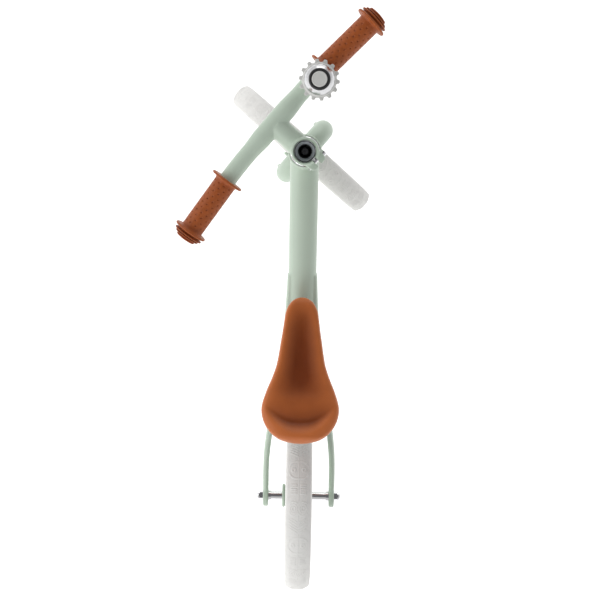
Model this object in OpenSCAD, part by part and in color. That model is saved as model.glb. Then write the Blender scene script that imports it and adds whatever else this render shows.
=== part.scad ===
// Children's balance bike, in millimetres.
// Origin: centre of the rear axle. +X points forward, +Y to the rider's left, +Z up.
// The steering is turned to the left, and both tyres stand on the floor at z = -wheel_d / 2.

/* [Whole bike] */
// Distance from the rear axle to the steering axis, measured at axle height
axle_to_steering = 566; // [550:1:585]
// Lean of the steering axis from upright, in degrees
head_lean = 18.5; // [16:0.5:21]
// How far the steering is turned to the left, in degrees
steer_turn = 49.6; // [-80:0.2:80]

/* [Wheels] */
// Outside diameter of a tyre
wheel_d = 284; // [276:2:286]
// Width of a tyre
tyre_w = 39; // [34:1:40]
// Thickness of the foam tyre from tread to rim
tyre_depth = 38; // [34:1:42]
// Number of spokes in a wheel
spoke_count = 10; // [8:1:12]
// How far the front axle sits ahead of the steering axis
rake = 6; // [2:1:8]

/* [Frame] */
// Outside diameter of the main tube
main_tube_d = 41; // [39:1:43]
// Outside diameter of the head tube
head_tube_d = 46.4; // [45:0.2:50]
// Inside diameter of the head tube, made for integrated bearings
head_tube_bore = 41.8; // [41:0.2:42]
// Thickness of a rear stay, seen from above
stay_t = 9; // [8:0.5:10]
// Height of a rear stay, seen from the side
stay_h = 24; // [20:1:28]
// Distance between the outer faces of the rear dropouts
rear_width = 112; // [108:1:116]

/* [Saddle] */
// Height of the saddle's top above the floor
saddle_height = 350; // [345:1:380]
// Length of the saddle
saddle_l = 207; // [200:1:215]
// Width of the saddle at its wide end
saddle_w = 109; // [104:1:114]
// Diameter of the seat post
seat_post_d = 25.4; // [25:0.2:26]

/* [Fork and handlebar] */
// Outside diameter of the fork's tubes
fork_tube_d = 31.2; // [29:0.2:32]
// Distance between the centres of the two fork legs
fork_leg_gap = 84; // [82:1:88]
// Outside diameter of the steerer tube
steerer_d = 28.5; // [28.4:0.1:28.6]
// Height of the handlebar above the front axle, along the steering axis
bar_rise = 407; // [395:1:415]
// How far the handlebar sits ahead of the steering axis
bar_reach = 51.5; // [48:0.5:60]
// Diameter of the handlebar under the grips
bar_d = 22.2; // [22:0.2:22.6]
// Diameter of the handlebar at the stem
bar_mid_d = 25.4; // [25:0.2:26]
// Diameter of a grip
grip_d = 28.6; // [27:0.2:30]

/* [Bell] */
// Place of the bell along the handlebar, to the right of the stem
bell_offset = 76; // [74:0.5:78]
// how far the bell's own axis lies behind the bar's centre line, mm
bell_back = 7; // [5:0.5:9]
// Diameter of the bell's toothed ring over its teeth
bell_d = 50; // [46:1:52]
// Number of teeth on the bell's ring
bell_teeth = 14; // [12:1:16]

/* [Hidden] */
$fn = 96;
blend_fn = 32;
eps = 0.5;
fit = 0.06;
gap = 0.3;
press = 0.02;
sage = [0.72, 0.78, 0.70];
foam = [0.86, 0.86, 0.84];
steel = [0.70, 0.71, 0.73];
black = [0.14, 0.14, 0.14];
tan = [0.55, 0.27, 0.14];
pale_grey = [0.75, 0.75, 0.73];
wheel_r = wheel_d / 2;

// tyre and wheel
crown_r = 34;
tyre_in = wheel_r - tyre_depth;
rim_w = 30;
rim_t = 9;
spoke_w = 8;
spoke_h = 16;
hub_r = 16;
hub_in = 19.5;
hub_cap_y = 21.5;
hub_cap_r = 18;
hub_cap_t = 4;
hub_cap_hole = 8.5;
bearing_r = 11;
bearing_w = 8;
axle_r = 5;
spacer_r = 7;
washer_r = 8.8;
washer_t = 4;
nut_flats = 15;
nut_h = 5;
dome_r = 7.2;
dome_h = 6;

// where the front wheel stands: leaning as the steering turns, it still touches the floor
lean_side = sin(steer_turn) * sin(head_lean);
front_drop = wheel_r - (wheel_r - crown_r) * sqrt(1 - lean_side * lean_side) - crown_r;
axis_z = -front_drop - rake * cos(steer_turn) * sin(head_lean);
axis_x = axle_to_steering;

// along the steering axis, from the front axle upwards
crown_a = 168;
boss_top = 192;
boss_r = 18;
race_t = 6;
race_r = 20.2;
head_low = 195;
head_high = 308;
head_joint = 250;
headset_bearing_h = 7;
seal_t = 3;
seal_proud = 2;
seal_top_r = 18;
steerer_low = 150;
steerer_high = 418;
steerer_wall = 1.7;
steerer_lift = 4;
plug_high = steerer_high - 3;
plug_h = 20;
cone_h = 12;
cone_low_r = 4;
cone_high_r = 11.5;
top_bolt_low = plug_high - 36;
top_head_r = 3.6;
top_head_h = 4;
top_hex_r = 1.8;
fork_wall = 1.8;

// main tube and stays, in the sloping plane from the rear axle to the head tube
joint_x = axis_x - head_joint * sin(head_lean);
joint_z = axis_z + head_joint * cos(head_lean);
main_slope = atan2(joint_z, joint_x);
main_len = norm([joint_x, joint_z]);
main_r = main_tube_d / 2;
main_wall = 2;
main_end = 174;
main_taper = 8;
main_tip_r = 14;
stay_start = 400;
stay_bend_1 = 1400;
stay_bend_2 = 500;
stay_angle = 10.5;
tip_skip = 42;
stay_y0 = main_r - stay_t / 2 + 0.5;
stay_y1 = rear_width / 2 - stay_t / 2;
bends = stay_bend_1 + stay_bend_2;
stay_run = (stay_y1 - stay_y0 - bends * (1 - cos(stay_angle))) / sin(stay_angle);
stay_x1 = stay_start - stay_bend_1 * sin(stay_angle);
stay_x2 = stay_x1 - stay_run * cos(stay_angle);
stay_x3 = stay_x2 - stay_bend_2 * sin(stay_angle);
stay_knee = stay_y0 + stay_bend_1 * (1 - cos(stay_angle));
stay_steps = 24;
eye_r = 17;
eye_t = stay_t;

// seat tube and saddle, along the seat tube from the main tube's centre line
seat_s = 230;
seat_lean = 18;
seat_x = seat_s * cos(main_slope);
seat_z = seat_s * sin(main_slope);
seat_tube_r = 15.9;
seat_low = -42;
seat_high = 40;
collar_r = 20;
collar_h = 15;
collar_high = seat_high + 2;
clamp_ear = 9;
clamp_ear_root = 5;
clamp_slot = 3;
clamp_bolt_x = collar_r + 3.5;
post_r = seat_post_d / 2;
post_wall = 1.6;
post_cap = 4;
post_gap = 1;
saddle_top = saddle_height - wheel_r;
pad_side_h = 24;
pad_crown_h = 6;
pad_crown_in = 4;
lip_r = 18;
lip_in = 6;
lip_y = 26;
lip_h = 4;
pad_low = saddle_top - pad_side_h - pad_crown_h - lip_h;
pan_t = 5;
pan_in = 5;
plate_t = 4;
plate_z = pad_low - pan_t - plate_t;
plate_l = 62;
plate_w = 38;
plate_inset = 7;
socket_wall = 3;
socket_deep = 12;
socket_over = 8;
beyond = 100;
saddle_rear = 77;
nose_r = saddle_w * 0.205;
nose_x = saddle_rear + saddle_l - nose_r;
waist_r = 8;
waist_x = saddle_rear + saddle_l * 0.62;
waist_y = saddle_w * 0.26 - waist_r;
wide_r = saddle_w * 0.29;
wide_x = saddle_rear + wide_r + saddle_l * 0.04;
wide_y = saddle_w / 2 - wide_r;
tail_r = 22;
tail_y = 12;
post_top = (plate_z - seat_z) / cos(seat_lean) - post_r * tan(seat_lean) - 2 * gap;
plate_x = seat_x - (plate_z - seat_z) * tan(seat_lean);

// fork legs
fork_r = fork_tube_d / 2;
leg_y = fork_leg_gap / 2;
leg_bend = 26;
leg_low = 46;
leg_tip = 20;
leg_tip_r = 9.5;
leg_plug = 4;
drop_y = 46;
drop_t = 6;
drop_r = 13;
drop_w = 18;
front_spacer_end = drop_y - drop_t / 2 - washer_t;
rear_inner = stay_y1 - eye_t / 2;
rear_outer = stay_y1 + eye_t / 2;
rear_spacer_end = rear_inner - washer_t;

// stem, handlebar and grips
stem_r = 17.5;
stem_low = 365;
stem_high = 428;
cap_seat_r = 14.8;
cap_seat_h = 9;
reach_r = 13.6;
ear_back = 25.5;
ear_half = 11.5;
slot_w = 5.5;
ear_low = 374;
ear_high = 421;
stem_bolt_x = 18.2;
stem_bolt_z = [386, 409];
bolt_r = 2.5;
bolt_head_r = 4.3;
bolt_head_h = 4.5;
hex_r = 2.2;
hex_floor = 2;
bolt_past = 2;
bar_mid_half = 25;
bar_taper_end = 45;
bar_bend = 600;
bar_bend_angle = 4.8;
bend_places = [for (i = [1 : 5]) bar_taper_end + bar_bend * bar_bend_angle * PI / 180 * i / 5];
bar_straight_y = bar_taper_end + bar_bend * sin(bar_bend_angle);
bar_straight_x = bar_reach - bar_bend * (1 - cos(bar_bend_angle));
grip_bar_l = 76.5;
grip_start = -4.5;
grip_flange_r = 21.8;
grip_flange_t = 3;
grip_outer = 74.5;
grip_ribs = [[80.5, 19.4], [83.5, 16.6], [86.5, 13]];
grip_rib_t = 1.6;
grip_core_r = 11.6;
grip_end = 89;

// bell, upwards from the handlebar's centre line
bell_turn = asin((bell_offset - bar_taper_end) / bar_bend);
bell_x = bar_reach - bar_bend * (1 - cos(bell_turn));
band_r = 13.4;
band_w = 14;
band_ear = 20;
bell_foot_r = 9;
band_ear_w = 10;
band_slot = 2;
band_screw_r = 1.58;
band_head_r = 2.8;
band_head_h = 2.4;
band_screw_z = 4 - band_ear;
bell_foot_z = 23;
bell_ring_z = bell_foot_z + gap;
bell_ring_t = 5;
bell_bevel_z = bell_ring_z + bell_ring_t;
bell_bevel_r = 20.5;
bell_bevel_t = 3;
bell_root_r = bell_d / 2 - 3.6;
// corners of one tooth: share of the pitch from its middle, share of its height
tooth_flank = [[-0.33, 0], [-0.2, 0.35], [-0.17, 0.8], [-0.1, 1]];
tooth_corners = concat(tooth_flank, [for (i = [3 : -1 : 0]) [-tooth_flank[i][0], tooth_flank[i][1]]]);
stub_r = 5;
dome_z = bell_bevel_z + bell_bevel_t + gap;
dome_low_r = 18.3;
dome_top_r = 12.8;
dome_rise = 8.5;
dome_wall = 1.2;
bell_lip_r = dome_low_r + 0.6;
ring_well_r = dome_low_r - 1.6;
ring_well = 2;
cap_z = dome_z + dome_rise;
cap_ring_r = 12.7;
cap_ring_t = 1.5;
cap_r = 10.3;
cap_t = 2.6;
striker_x = 11.5;
striker_r = 2;
striker_arm_r = 0.9;
striker_h = 9;
striker_head = 4;

// ---- places ----

// Steering axis pointing along +Z, straight ahead; children stand on the front axle's height
module at_head() {
    translate([axis_x, 0, axis_z]) rotate([0, -head_lean, 0]) children();
}

// The same, turned with the steering
module at_steering() {
    at_head() rotate([0, 0, steer_turn]) children();
}

// Front axle, with the axle along +Y
module at_front_axle() {
    at_steering() translate([rake, 0, 0]) children();
}

// Sloping plane of the frame, with the main tube along +X
module at_main_line() {
    rotate([0, -main_slope, 0]) children();
}

// Seat tube pointing along +Z
module at_seat() {
    translate([seat_x, 0, seat_z]) rotate([0, -seat_lean, 0]) children();
}

// Straight outer part of the handlebar, outwards along +Y; side is 1 left, -1 right
module at_grip(side) {
    at_steering()
        translate([bar_straight_x, side * bar_straight_y, bar_rise])
            mirror([0, side < 0 ? 1 : 0, 0])
                rotate([0, 0, bar_bend_angle]) children();
}

// Bell, on top of the handlebar, upwards along +Z
module at_band() {
    at_steering() translate([bell_x, -bell_offset, bar_rise]) rotate([0, 0, -bell_turn]) children();
}

// The bell's own axis, a little behind the band that holds it
module at_bell() {
    at_band() translate([-bell_back, 0, 0]) children();
}

// Both ends of an axle, with each end's part drawn outwards along +Z
module both_ends() {
    for (side = [0, 1]) mirror([0, side, 0]) rotate([-90, 0, 0]) children();
}

// ---- shapes ----

module tube(outer, inner, low, high) {
    difference() {
        translate([0, 0, low]) cylinder(h = high - low, r = outer);
        translate([0, 0, low - eps]) cylinder(h = high - low + 2 * eps, r = inner);
    }
}

module rod(radius, low, high) {
    translate([0, 0, low]) cylinder(h = high - low, r = radius);
}

// Socket-head screw from low up to its head
module socket_screw(low, head_low) {
    rod(bolt_r - press, low, head_low);
    difference() {
        rod(bolt_head_r, head_low, head_low + bolt_head_h);
        translate([0, 0, head_low + hex_floor]) cylinder(h = bolt_head_h, r = hex_r, $fn = 6);
    }
}

// Cap nut: hexagon with a domed end, standing on z = 0
module cap_nut() {
    cylinder(h = nut_h, r = nut_flats / 2 / cos(30), $fn = 6);
    translate([0, 0, nut_h]) intersection() {
        translate([0, 0, dome_h - dome_r - 1]) sphere(r = dome_r + 1);
        cylinder(h = dome_r * 2, r = dome_r);
    }
}

// Foam tyre, turning about Y
module tyre() {
    rotate([90, 0, 0]) rotate_extrude() intersection() {
        translate([wheel_r - crown_r, 0]) circle(r = crown_r);
        translate([tyre_in, -tyre_w / 2]) square([tyre_depth + eps, tyre_w]);
    }
}

// Moulded wheel: rim, spokes and hub, turning about Y
module wheel_moulding() {
    rim_out = tyre_in - 0.05;
    rotate([90, 0, 0]) difference() {
        union() {
            rotate_extrude() translate([rim_out - rim_t, -rim_w / 2]) square([rim_t, rim_w]);
            rod(hub_r, -hub_cap_y, hub_in);
            for (i = [0 : spoke_count - 1])
                rotate([0, 0, i * 360 / spoke_count])
                    translate([hub_r - 3, -spoke_w / 2, -spoke_h / 2])
                        cube([rim_out - rim_t - hub_r + 5, spoke_w, spoke_h]);
        }
        rod(bearing_r - 2, -hub_cap_y - eps, hub_in + eps);
        rod(bearing_r, hub_in - bearing_w, hub_in + eps);
        rod(bearing_r, -hub_cap_y - eps, -hub_in + bearing_w);
    }
}

// Thin hub cap on the wheel's left face
module hub_cap() {
    rotate([-90, 0, 0]) tube(hub_cap_r, hub_cap_hole, hub_cap_y, hub_cap_y + hub_cap_t);
}

module hub_bearings() {
    both_ends() tube(bearing_r - press, axle_r + fit, hub_in - bearing_w, hub_in);
}

// Sleeves from the hub's bearings out to the washers
module spacers(far) {
    both_ends() tube(spacer_r, axle_r + fit, hub_in + gap, far);
}

// Centre line of a stay: distance from the bike's middle plane at a distance ahead of the rear axle
function stay_y(x) =
    x > stay_x1 ? stay_y0 + stay_bend_1 - sqrt(stay_bend_1 ^ 2 - (stay_start - x) ^ 2)
    : x > stay_x2 ? stay_knee + (stay_x1 - x) * tan(stay_angle)
    : x > stay_x3 ? stay_y1 - stay_bend_2 + sqrt(stay_bend_2 ^ 2 - (x - stay_x3) ^ 2)
    : stay_y1;

// One rear stay with its dropout eye, on the left
module stay() {
    tip = stay_start - tip_skip;
    stations = [for (i = [0 : stay_steps]) tip * i / stay_steps];
    outline = concat([for (x = stations) [x, stay_y(x) + stay_t / 2]],
        [for (i = [stay_steps : -1 : 0]) [stations[i], stay_y(stations[i]) - stay_t / 2]]);
    at_main_line() difference() {
        union() {
            translate([0, 0, -stay_h / 2]) linear_extrude(height = stay_h) polygon(outline);
            translate([0, stay_y1 - eye_t / 2, 0]) rotate([-90, 0, 0]) cylinder(h = eye_t, r = eye_r);
        }
        rotate([0, 90, 0]) rod(main_r, main_end + main_taper, main_len);
        translate([0, stay_y1, 0]) rotate([90, 0, 0])
            cylinder(h = stay_t + 2, r = axle_r + fit, center = true);
    }
}

// One fork leg with its dropout, on the left
module fork_leg() {
    at_steering() difference() {
        union() {
            translate([0, leg_y, leg_low]) cylinder(h = crown_a - leg_bend - leg_low, r = fork_r);
            translate([0, leg_y, leg_tip])
                cylinder(h = leg_low - leg_tip, r1 = leg_tip_r, r2 = fork_r);
            translate([rake, drop_y - drop_t / 2, 0]) rotate([-90, 0, 0])
                cylinder(h = drop_t, r = drop_r);
            translate([-drop_w / 2 + rake / 2, drop_y - drop_t / 2, 0])
                cube([drop_w, drop_t, leg_low]);
        }
        translate([0, leg_y, leg_low + leg_plug])
            cylinder(h = crown_a - leg_bend - leg_low, r = fork_r - fork_wall);
        translate([rake, drop_y - drop_t, 0]) rotate([-90, 0, 0])
            cylinder(h = 2 * drop_t, r = axle_r + fit);
    }
}

// One grip, outwards along +Y, closed at its end by ribs
module grip(side) {
    at_grip(side) rotate([-90, 0, 0]) difference() {
        union() {
            rod(grip_d / 2, grip_start, grip_outer + 2);
            rod(grip_flange_r, grip_start, grip_start + grip_flange_t);
            rod(grip_flange_r, grip_outer, grip_outer + grip_flange_t);
            rod(grip_core_r, grip_outer, grip_end);
            for (rib = grip_ribs) rod(rib[1], rib[0], rib[0] + grip_rib_t);
        }
        rod(bar_d / 2 + press, grip_start - eps, grip_bar_l + 1);
    }
}

// ---- frame ----

module main_tube() {
    color(sage) difference() {
        at_main_line() rotate([0, 90, 0]) difference() {
            union() {
                rod(main_r, main_end + main_taper, main_len);
                translate([0, 0, main_end]) cylinder(h = main_taper, r1 = main_tip_r, r2 = main_r);
            }
            rod(main_r - main_wall, main_end + main_taper, main_len + eps);
        }
        at_head() rod(head_tube_d / 2, head_low, head_high);
        at_seat() rod(seat_tube_r, seat_low, seat_high);
    }
}

module head_tube() {
    color(sage) at_head() tube(head_tube_d / 2, head_tube_bore / 2, head_low, head_high);
}

module seat_tube() {
    color(sage) at_seat() tube(seat_tube_r, post_r + fit, seat_low, seat_high);
}

module left_stay() {
    color(sage) stay();
}

module right_stay() {
    color(sage) mirror([0, 1, 0]) stay();
}

module seat_clamp() {
    low = collar_high - collar_h;
    color(steel) at_seat() difference() {
        union() {
            rod(collar_r, low, collar_high);
            translate([-collar_r - clamp_ear, -clamp_ear, low])
                cube([clamp_ear + clamp_ear_root, 2 * clamp_ear, collar_h]);
        }
        rod(seat_tube_r + press, low - eps, seat_high);
        rod(post_r + post_gap, seat_high - eps, collar_high + eps);
        translate([-collar_r - clamp_ear - eps, -clamp_slot / 2, low - eps])
            cube([collar_r, clamp_slot, collar_h + 2 * eps]);
        translate([-clamp_bolt_x, 0, low + collar_h / 2]) rotate([90, 0, 0])
            cylinder(h = 3 * clamp_ear, r = bolt_r, center = true);
    }
}

module seat_clamp_bolt() {
    color(steel) at_seat() translate([-clamp_bolt_x, 0, collar_high - collar_h / 2])
        rotate([-90, 0, 0]) socket_screw(-clamp_ear - bolt_past, clamp_ear);
}

module upper_bearing() {
    top = head_high - seal_t + seal_proud - gap;
    color(steel) at_head()
        tube(head_tube_bore / 2 - press, steerer_d / 2 + fit, top - headset_bearing_h, top);
}

module lower_bearing() {
    low = boss_top + race_t + gap;
    color(steel) at_head()
        tube(head_tube_bore / 2 - press, steerer_d / 2 + fit, low, low + headset_bearing_h);
}

// ---- rear wheel ----

module rear_axle() {
    color(steel) rotate([90, 0, 0]) cylinder(h = 2 * rear_outer, r = axle_r, center = true);
}

module rear_spacers() {
    color(steel) spacers(rear_spacer_end);
}

module rear_washers() {
    color(steel) both_ends() tube(washer_r, axle_r + fit, rear_spacer_end, rear_inner);
}

module rear_nuts() {
    color(steel) both_ends() translate([0, 0, rear_outer]) cap_nut();
}

module rear_rim() {
    color(sage) wheel_moulding();
}

module rear_tyre() {
    color(foam) tyre();
}

module rear_hub_cap() {
    color(sage) hub_cap();
}

module rear_bearings() {
    color(steel) hub_bearings();
}

// ---- fork and front wheel ----

module fork_crown() {
    half = leg_y - leg_bend;
    color(sage) at_steering() difference() {
        union() {
            translate([0, 0, crown_a]) rotate([90, 0, 0])
                cylinder(h = 2 * half, r = fork_r, center = true);
            for (side = [0, 1]) mirror([0, side, 0])
                translate([0, half, crown_a - leg_bend]) rotate([90, 0, 90])
                    rotate_extrude(angle = 90) translate([leg_bend, 0]) difference() {
                        circle(r = fork_r);
                        circle(r = fork_r - fork_wall);
                    }
            rod(boss_r, crown_a, boss_top);
        }
        rod(steerer_d / 2 + press, steerer_low, boss_top + eps);
    }
}

module left_fork_leg() {
    color(sage) fork_leg();
}

module right_fork_leg() {
    color(sage) at_steering() mirror([0, 1, 0]) rotate([0, 0, -steer_turn])
        rotate([0, head_lean, 0]) translate([-axis_x, 0, -axis_z]) fork_leg();
}

module steerer() {
    color(steel) at_steering()
        tube(steerer_d / 2, steerer_d / 2 - steerer_wall, steerer_low + steerer_lift, steerer_high);
}

module crown_race() {
    color(steel) at_steering() tube(race_r, steerer_d / 2 + press, boss_top, boss_top + race_t);
}

module headset_cover() {
    low = head_high - seal_t + seal_proud;
    color(steel) at_steering() difference() {
        translate([0, 0, low]) cylinder(h = seal_t, r1 = race_r, r2 = seal_top_r);
        rod(steerer_d / 2 + press, low - eps, low + seal_t + eps);
    }
}

module top_plug() {
    color(black) at_steering() difference() {
        rod(steerer_d / 2 - steerer_wall - press, plug_high - plug_h, plug_high);
        translate([0, 0, plug_high - cone_h])
            cylinder(h = cone_h + eps, r1 = cone_low_r, r2 = cone_high_r);
        rod(bolt_r, plug_high - plug_h - eps, plug_high);
    }
}

module top_bolt() {
    head_low = plug_high - cone_h;
    color(steel) at_steering() difference() {
        union() {
            rod(bolt_r - press, top_bolt_low, head_low);
            rod(top_head_r, head_low, head_low + top_head_h);
        }
        translate([0, 0, head_low + hex_floor])
            cylinder(h = top_head_h, r = top_hex_r, $fn = 6);
    }
}

module front_axle() {
    color(steel) at_front_axle() rotate([90, 0, 0])
        cylinder(h = 2 * drop_y + drop_t, r = axle_r, center = true);
}

module front_spacers() {
    color(steel) at_front_axle() spacers(front_spacer_end);
}

module front_washers() {
    color(steel) at_front_axle() both_ends()
        tube(washer_r, axle_r + fit, front_spacer_end, front_spacer_end + washer_t);
}

module front_nuts() {
    color(steel) at_front_axle() both_ends() translate([0, 0, drop_y + drop_t / 2]) cap_nut();
}

module front_rim() {
    color(sage) at_front_axle() wheel_moulding();
}

module front_tyre() {
    color(foam) at_front_axle() tyre();
}

module front_hub_cap() {
    color(sage) at_front_axle() hub_cap();
}

module front_bearings() {
    color(steel) at_front_axle() hub_bearings();
}

// ---- handlebar ----

module stem() {
    color(sage) at_steering() difference() {
        union() {
            rod(stem_r, stem_low, stem_high);
            translate([stem_r / 2, 0, bar_rise]) rotate([0, 90, 0])
                cylinder(h = bar_reach - stem_r / 2, r = reach_r);
            translate([-ear_back, -ear_half, ear_low])
                cube([ear_back - stem_r / 2, 2 * ear_half, ear_high - ear_low]);
        }
        rod(steerer_d / 2 + fit, stem_low - eps, stem_high - cap_seat_h);
        rod(cap_seat_r, stem_high - cap_seat_h, stem_high + eps);
        translate([-ear_back - eps, -slot_w / 2, stem_low - eps])
            cube([ear_back, slot_w, stem_high - stem_low + 2 * eps]);
        translate([bar_reach, 0, bar_rise]) rotate([90, 0, 0])
            cylinder(h = 2 * bar_mid_half, r = bar_mid_d / 2, center = true);
        for (z = stem_bolt_z) translate([-stem_bolt_x, 0, z]) rotate([90, 0, 0])
            cylinder(h = 3 * ear_half, r = bolt_r, center = true);
    }
}

module stem_bolts() {
    color(steel) at_steering() for (z = stem_bolt_z)
        translate([-stem_bolt_x, 0, z]) rotate([90, 0, 0])
            socket_screw(-ear_half - bolt_past, ear_half);
}

// Handlebar's centre line at a signed distance along it: how far back it lies, and its angle
function bar_angle(d) = min(bar_bend_angle, max(0, (abs(d) - bar_taper_end) / bar_bend * 180 / PI));
function bar_past(d) = max(0, abs(d) - bar_taper_end - bar_bend * bar_bend_angle * PI / 180);
function bar_back(d) = bar_bend * (1 - cos(bar_angle(d))) + bar_past(d) * sin(bar_angle(d));
function bar_out(d) =
    min(abs(d), bar_taper_end) + bar_bend * sin(bar_angle(d)) + bar_past(d) * cos(bar_angle(d));
function bar_radius(d) = abs(d) <= bar_mid_half ? bar_mid_d / 2
    : abs(d) >= bar_taper_end ? bar_d / 2
    : (bar_mid_d + (bar_d - bar_mid_d) * (abs(d) - bar_mid_half) / (bar_taper_end - bar_mid_half)) / 2;

// Handlebar: a straight middle, a taper, a slight bend back and a straight end on each side
module handlebar() {
    half = bar_taper_end + bar_bend * bar_bend_angle * PI / 180 + grip_bar_l;
    places = [for (d = [0, bar_mid_half, bar_taper_end, each bend_places, half]) d];
    rings = concat([for (i = [len(places) - 1 : -1 : 1]) -places[i]], places);
    sides = blend_fn;
    points = [for (d = rings, k = [0 : sides - 1])
        let (a = bar_angle(d) * sign(d), r = bar_radius(d), t = k * 360 / sides)
            [bar_reach - bar_back(d) + r * cos(t) * cos(a), sign(d) * bar_out(d) + r * cos(t) * sin(a),
                bar_rise + r * sin(t)]];
    last = len(rings) - 1;
    walls = [for (i = [0 : last - 1], k = [0 : sides - 1])
        let (next = (k + 1) % sides, low = i * sides, high = low + sides)
            [low + k, low + next, high + next, high + k]];
    ends = [[for (k = [sides - 1 : -1 : 0]) k], [for (k = [0 : sides - 1]) last * sides + k]];
    color(sage) at_steering() polyhedron(points, concat(walls, ends));
}

module left_grip() {
    color(tan) grip(1);
}

module right_grip() {
    color(tan) grip(-1);
}

// ---- bell ----

module bell_clamp() {
    color(black) at_band() difference() {
        union() {
            rotate([90, 0, 0]) cylinder(h = band_w, r = band_r, center = true);
            translate([-bell_back, 0, 0]) {
                rod(bell_foot_r, 0, bell_foot_z);
                rod(stub_r, bell_foot_z - eps, dome_z + dome_rise - dome_wall);
            }
            translate([-band_ear_w / 2, -band_w / 2, -band_ear])
                cube([band_ear_w, band_w, band_ear - bar_d / 2]);
        }
        rotate([90, 0, 0]) cylinder(h = 3 * band_w, r = bar_d / 2 + fit, center = true);
        translate([-band_slot / 2, -band_w, -band_ear - eps]) cube([band_slot, 2 * band_w, band_ear]);
        translate([0, 0, band_screw_z]) rotate([0, 90, 0])
            cylinder(h = 2 * band_ear_w, r = band_screw_r + press, center = true);
    }
}

module bell_clamp_screw() {
    color(steel) at_band() translate([0, 0, band_screw_z]) rotate([0, 90, 0]) {
        rod(band_screw_r, -band_ear_w / 2 - 1, band_ear_w / 2);
        rod(band_head_r, band_ear_w / 2, band_ear_w / 2 + band_head_h);
    }
}

module bell_dome() {
    color(steel) at_bell() difference() {
        translate([0, 0, dome_z]) cylinder(h = dome_rise, r1 = dome_low_r, r2 = dome_top_r);
        translate([0, 0, dome_z - dome_wall])
            cylinder(h = dome_rise, r1 = dome_low_r, r2 = dome_top_r);
    }
}

module bell_collar() {
    color(black) at_bell() tube(cap_ring_r, cap_r, cap_z, cap_z + cap_ring_t);
}

module bell_cap() {
    color(pale_grey) at_bell() rod(cap_r - press, cap_z, cap_z + cap_t);
}

// Toothed ring, turned with the thumb
module bell_ring() {
    step = 360 / bell_teeth;
    tip_r = bell_d / 2;
    outline = [for (i = [0 : bell_teeth - 1], c = tooth_corners)
        let (r = bell_root_r + c[1] * (tip_r - bell_root_r), t = (i + 0.5 + c[0]) * step)
            [r * cos(t), r * sin(t)]];
    color(pale_grey) at_bell() difference() {
        union() {
            translate([0, 0, bell_ring_z]) linear_extrude(height = bell_ring_t) polygon(outline);
            translate([0, 0, bell_bevel_z])
                cylinder(h = bell_bevel_t, r1 = bell_bevel_r, r2 = bell_lip_r);
        }
        rod(stub_r + fit, bell_ring_z - eps, bell_bevel_z + bell_bevel_t + eps);
        rod(ring_well_r, bell_bevel_z - ring_well, bell_bevel_z + bell_bevel_t + eps);
    }
}

module bell_striker() {
    color(steel) at_bell() translate([-striker_x, 0, bell_bevel_z - ring_well]) {
        rod(striker_arm_r, 0, striker_h - 1);
        rod(striker_r, striker_h - striker_head, striker_h);
    }
}

// ---- saddle ----

module seat_post() {
    color(steel) at_seat() difference() {
        rod(post_r, seat_low + 1, post_top);
        rod(post_r - post_wall, seat_low, post_top - post_cap);
    }
}

module saddle_plate() {
    color(black) {
        difference() {
            translate([plate_x - plate_l / 2, -plate_w / 2, plate_z]) cube([plate_l, plate_w, plate_t]);
            plate_holes(bolt_r);
        }
        at_seat() difference() {
            rod(post_r + socket_wall, post_top - socket_deep, post_top + socket_over);
            rod(post_r + press, post_top - socket_deep - eps, post_top);
            rotate([0, seat_lean, 0]) translate([-beyond / 2, -beyond / 2, plate_z - seat_z])
                cube([beyond, beyond, beyond]);
        }
    }
}

module plate_holes(radius, high = beyond) {
    for (x = [-1, 1], y = [-1, 1])
        translate([plate_x + x * (plate_l / 2 - plate_inset), y * (plate_w / 2 - plate_inset), plate_z])
            translate([0, 0, -eps]) cylinder(h = high, r = radius);
}

module saddle_bolts() {
    color(steel) {
        translate([0, 0, eps - bolt_past]) plate_holes(bolt_r - press, bolt_past + plate_t + pan_t - gap);
        translate([0, 0, eps - bolt_head_h]) plate_holes(bolt_head_r, bolt_head_h);
    }
}

// Two overlapping hulls: the narrow nose and the wide seat
module saddle_outline(grow) {
    hull() {
        translate([nose_x, 0]) circle(r = nose_r + grow, $fn = blend_fn);
        for (s = [-1, 1]) translate([waist_x, s * waist_y]) circle(r = waist_r + grow, $fn = blend_fn);
    }
    hull() for (s = [-1, 1]) {
        translate([waist_x, s * waist_y]) circle(r = waist_r + grow, $fn = blend_fn);
        translate([wide_x, s * wide_y]) circle(r = wide_r + grow, $fn = blend_fn);
        translate([saddle_rear + tail_r, s * tail_y]) circle(r = tail_r + grow, $fn = blend_fn);
    }
}

module saddle_pan() {
    color(black) difference() {
        translate([0, 0, pad_low - pan_t]) linear_extrude(height = pan_t) saddle_outline(-pan_in);
        plate_holes(bolt_r);
    }
}

module saddle_pad() {
    color(tan) {
        translate([0, 0, pad_low]) linear_extrude(height = pad_side_h) saddle_outline(0);
        translate([0, 0, pad_low + pad_side_h])
            linear_extrude(height = pad_crown_h) saddle_outline(-pad_crown_in);
        translate([saddle_rear + lip_in + lip_r, 0, saddle_top - lip_h]) linear_extrude(height = lip_h)
            hull() for (s = [-1, 1]) translate([0, s * lip_y]) circle(r = lip_r, $fn = blend_fn);
    }
}

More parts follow.
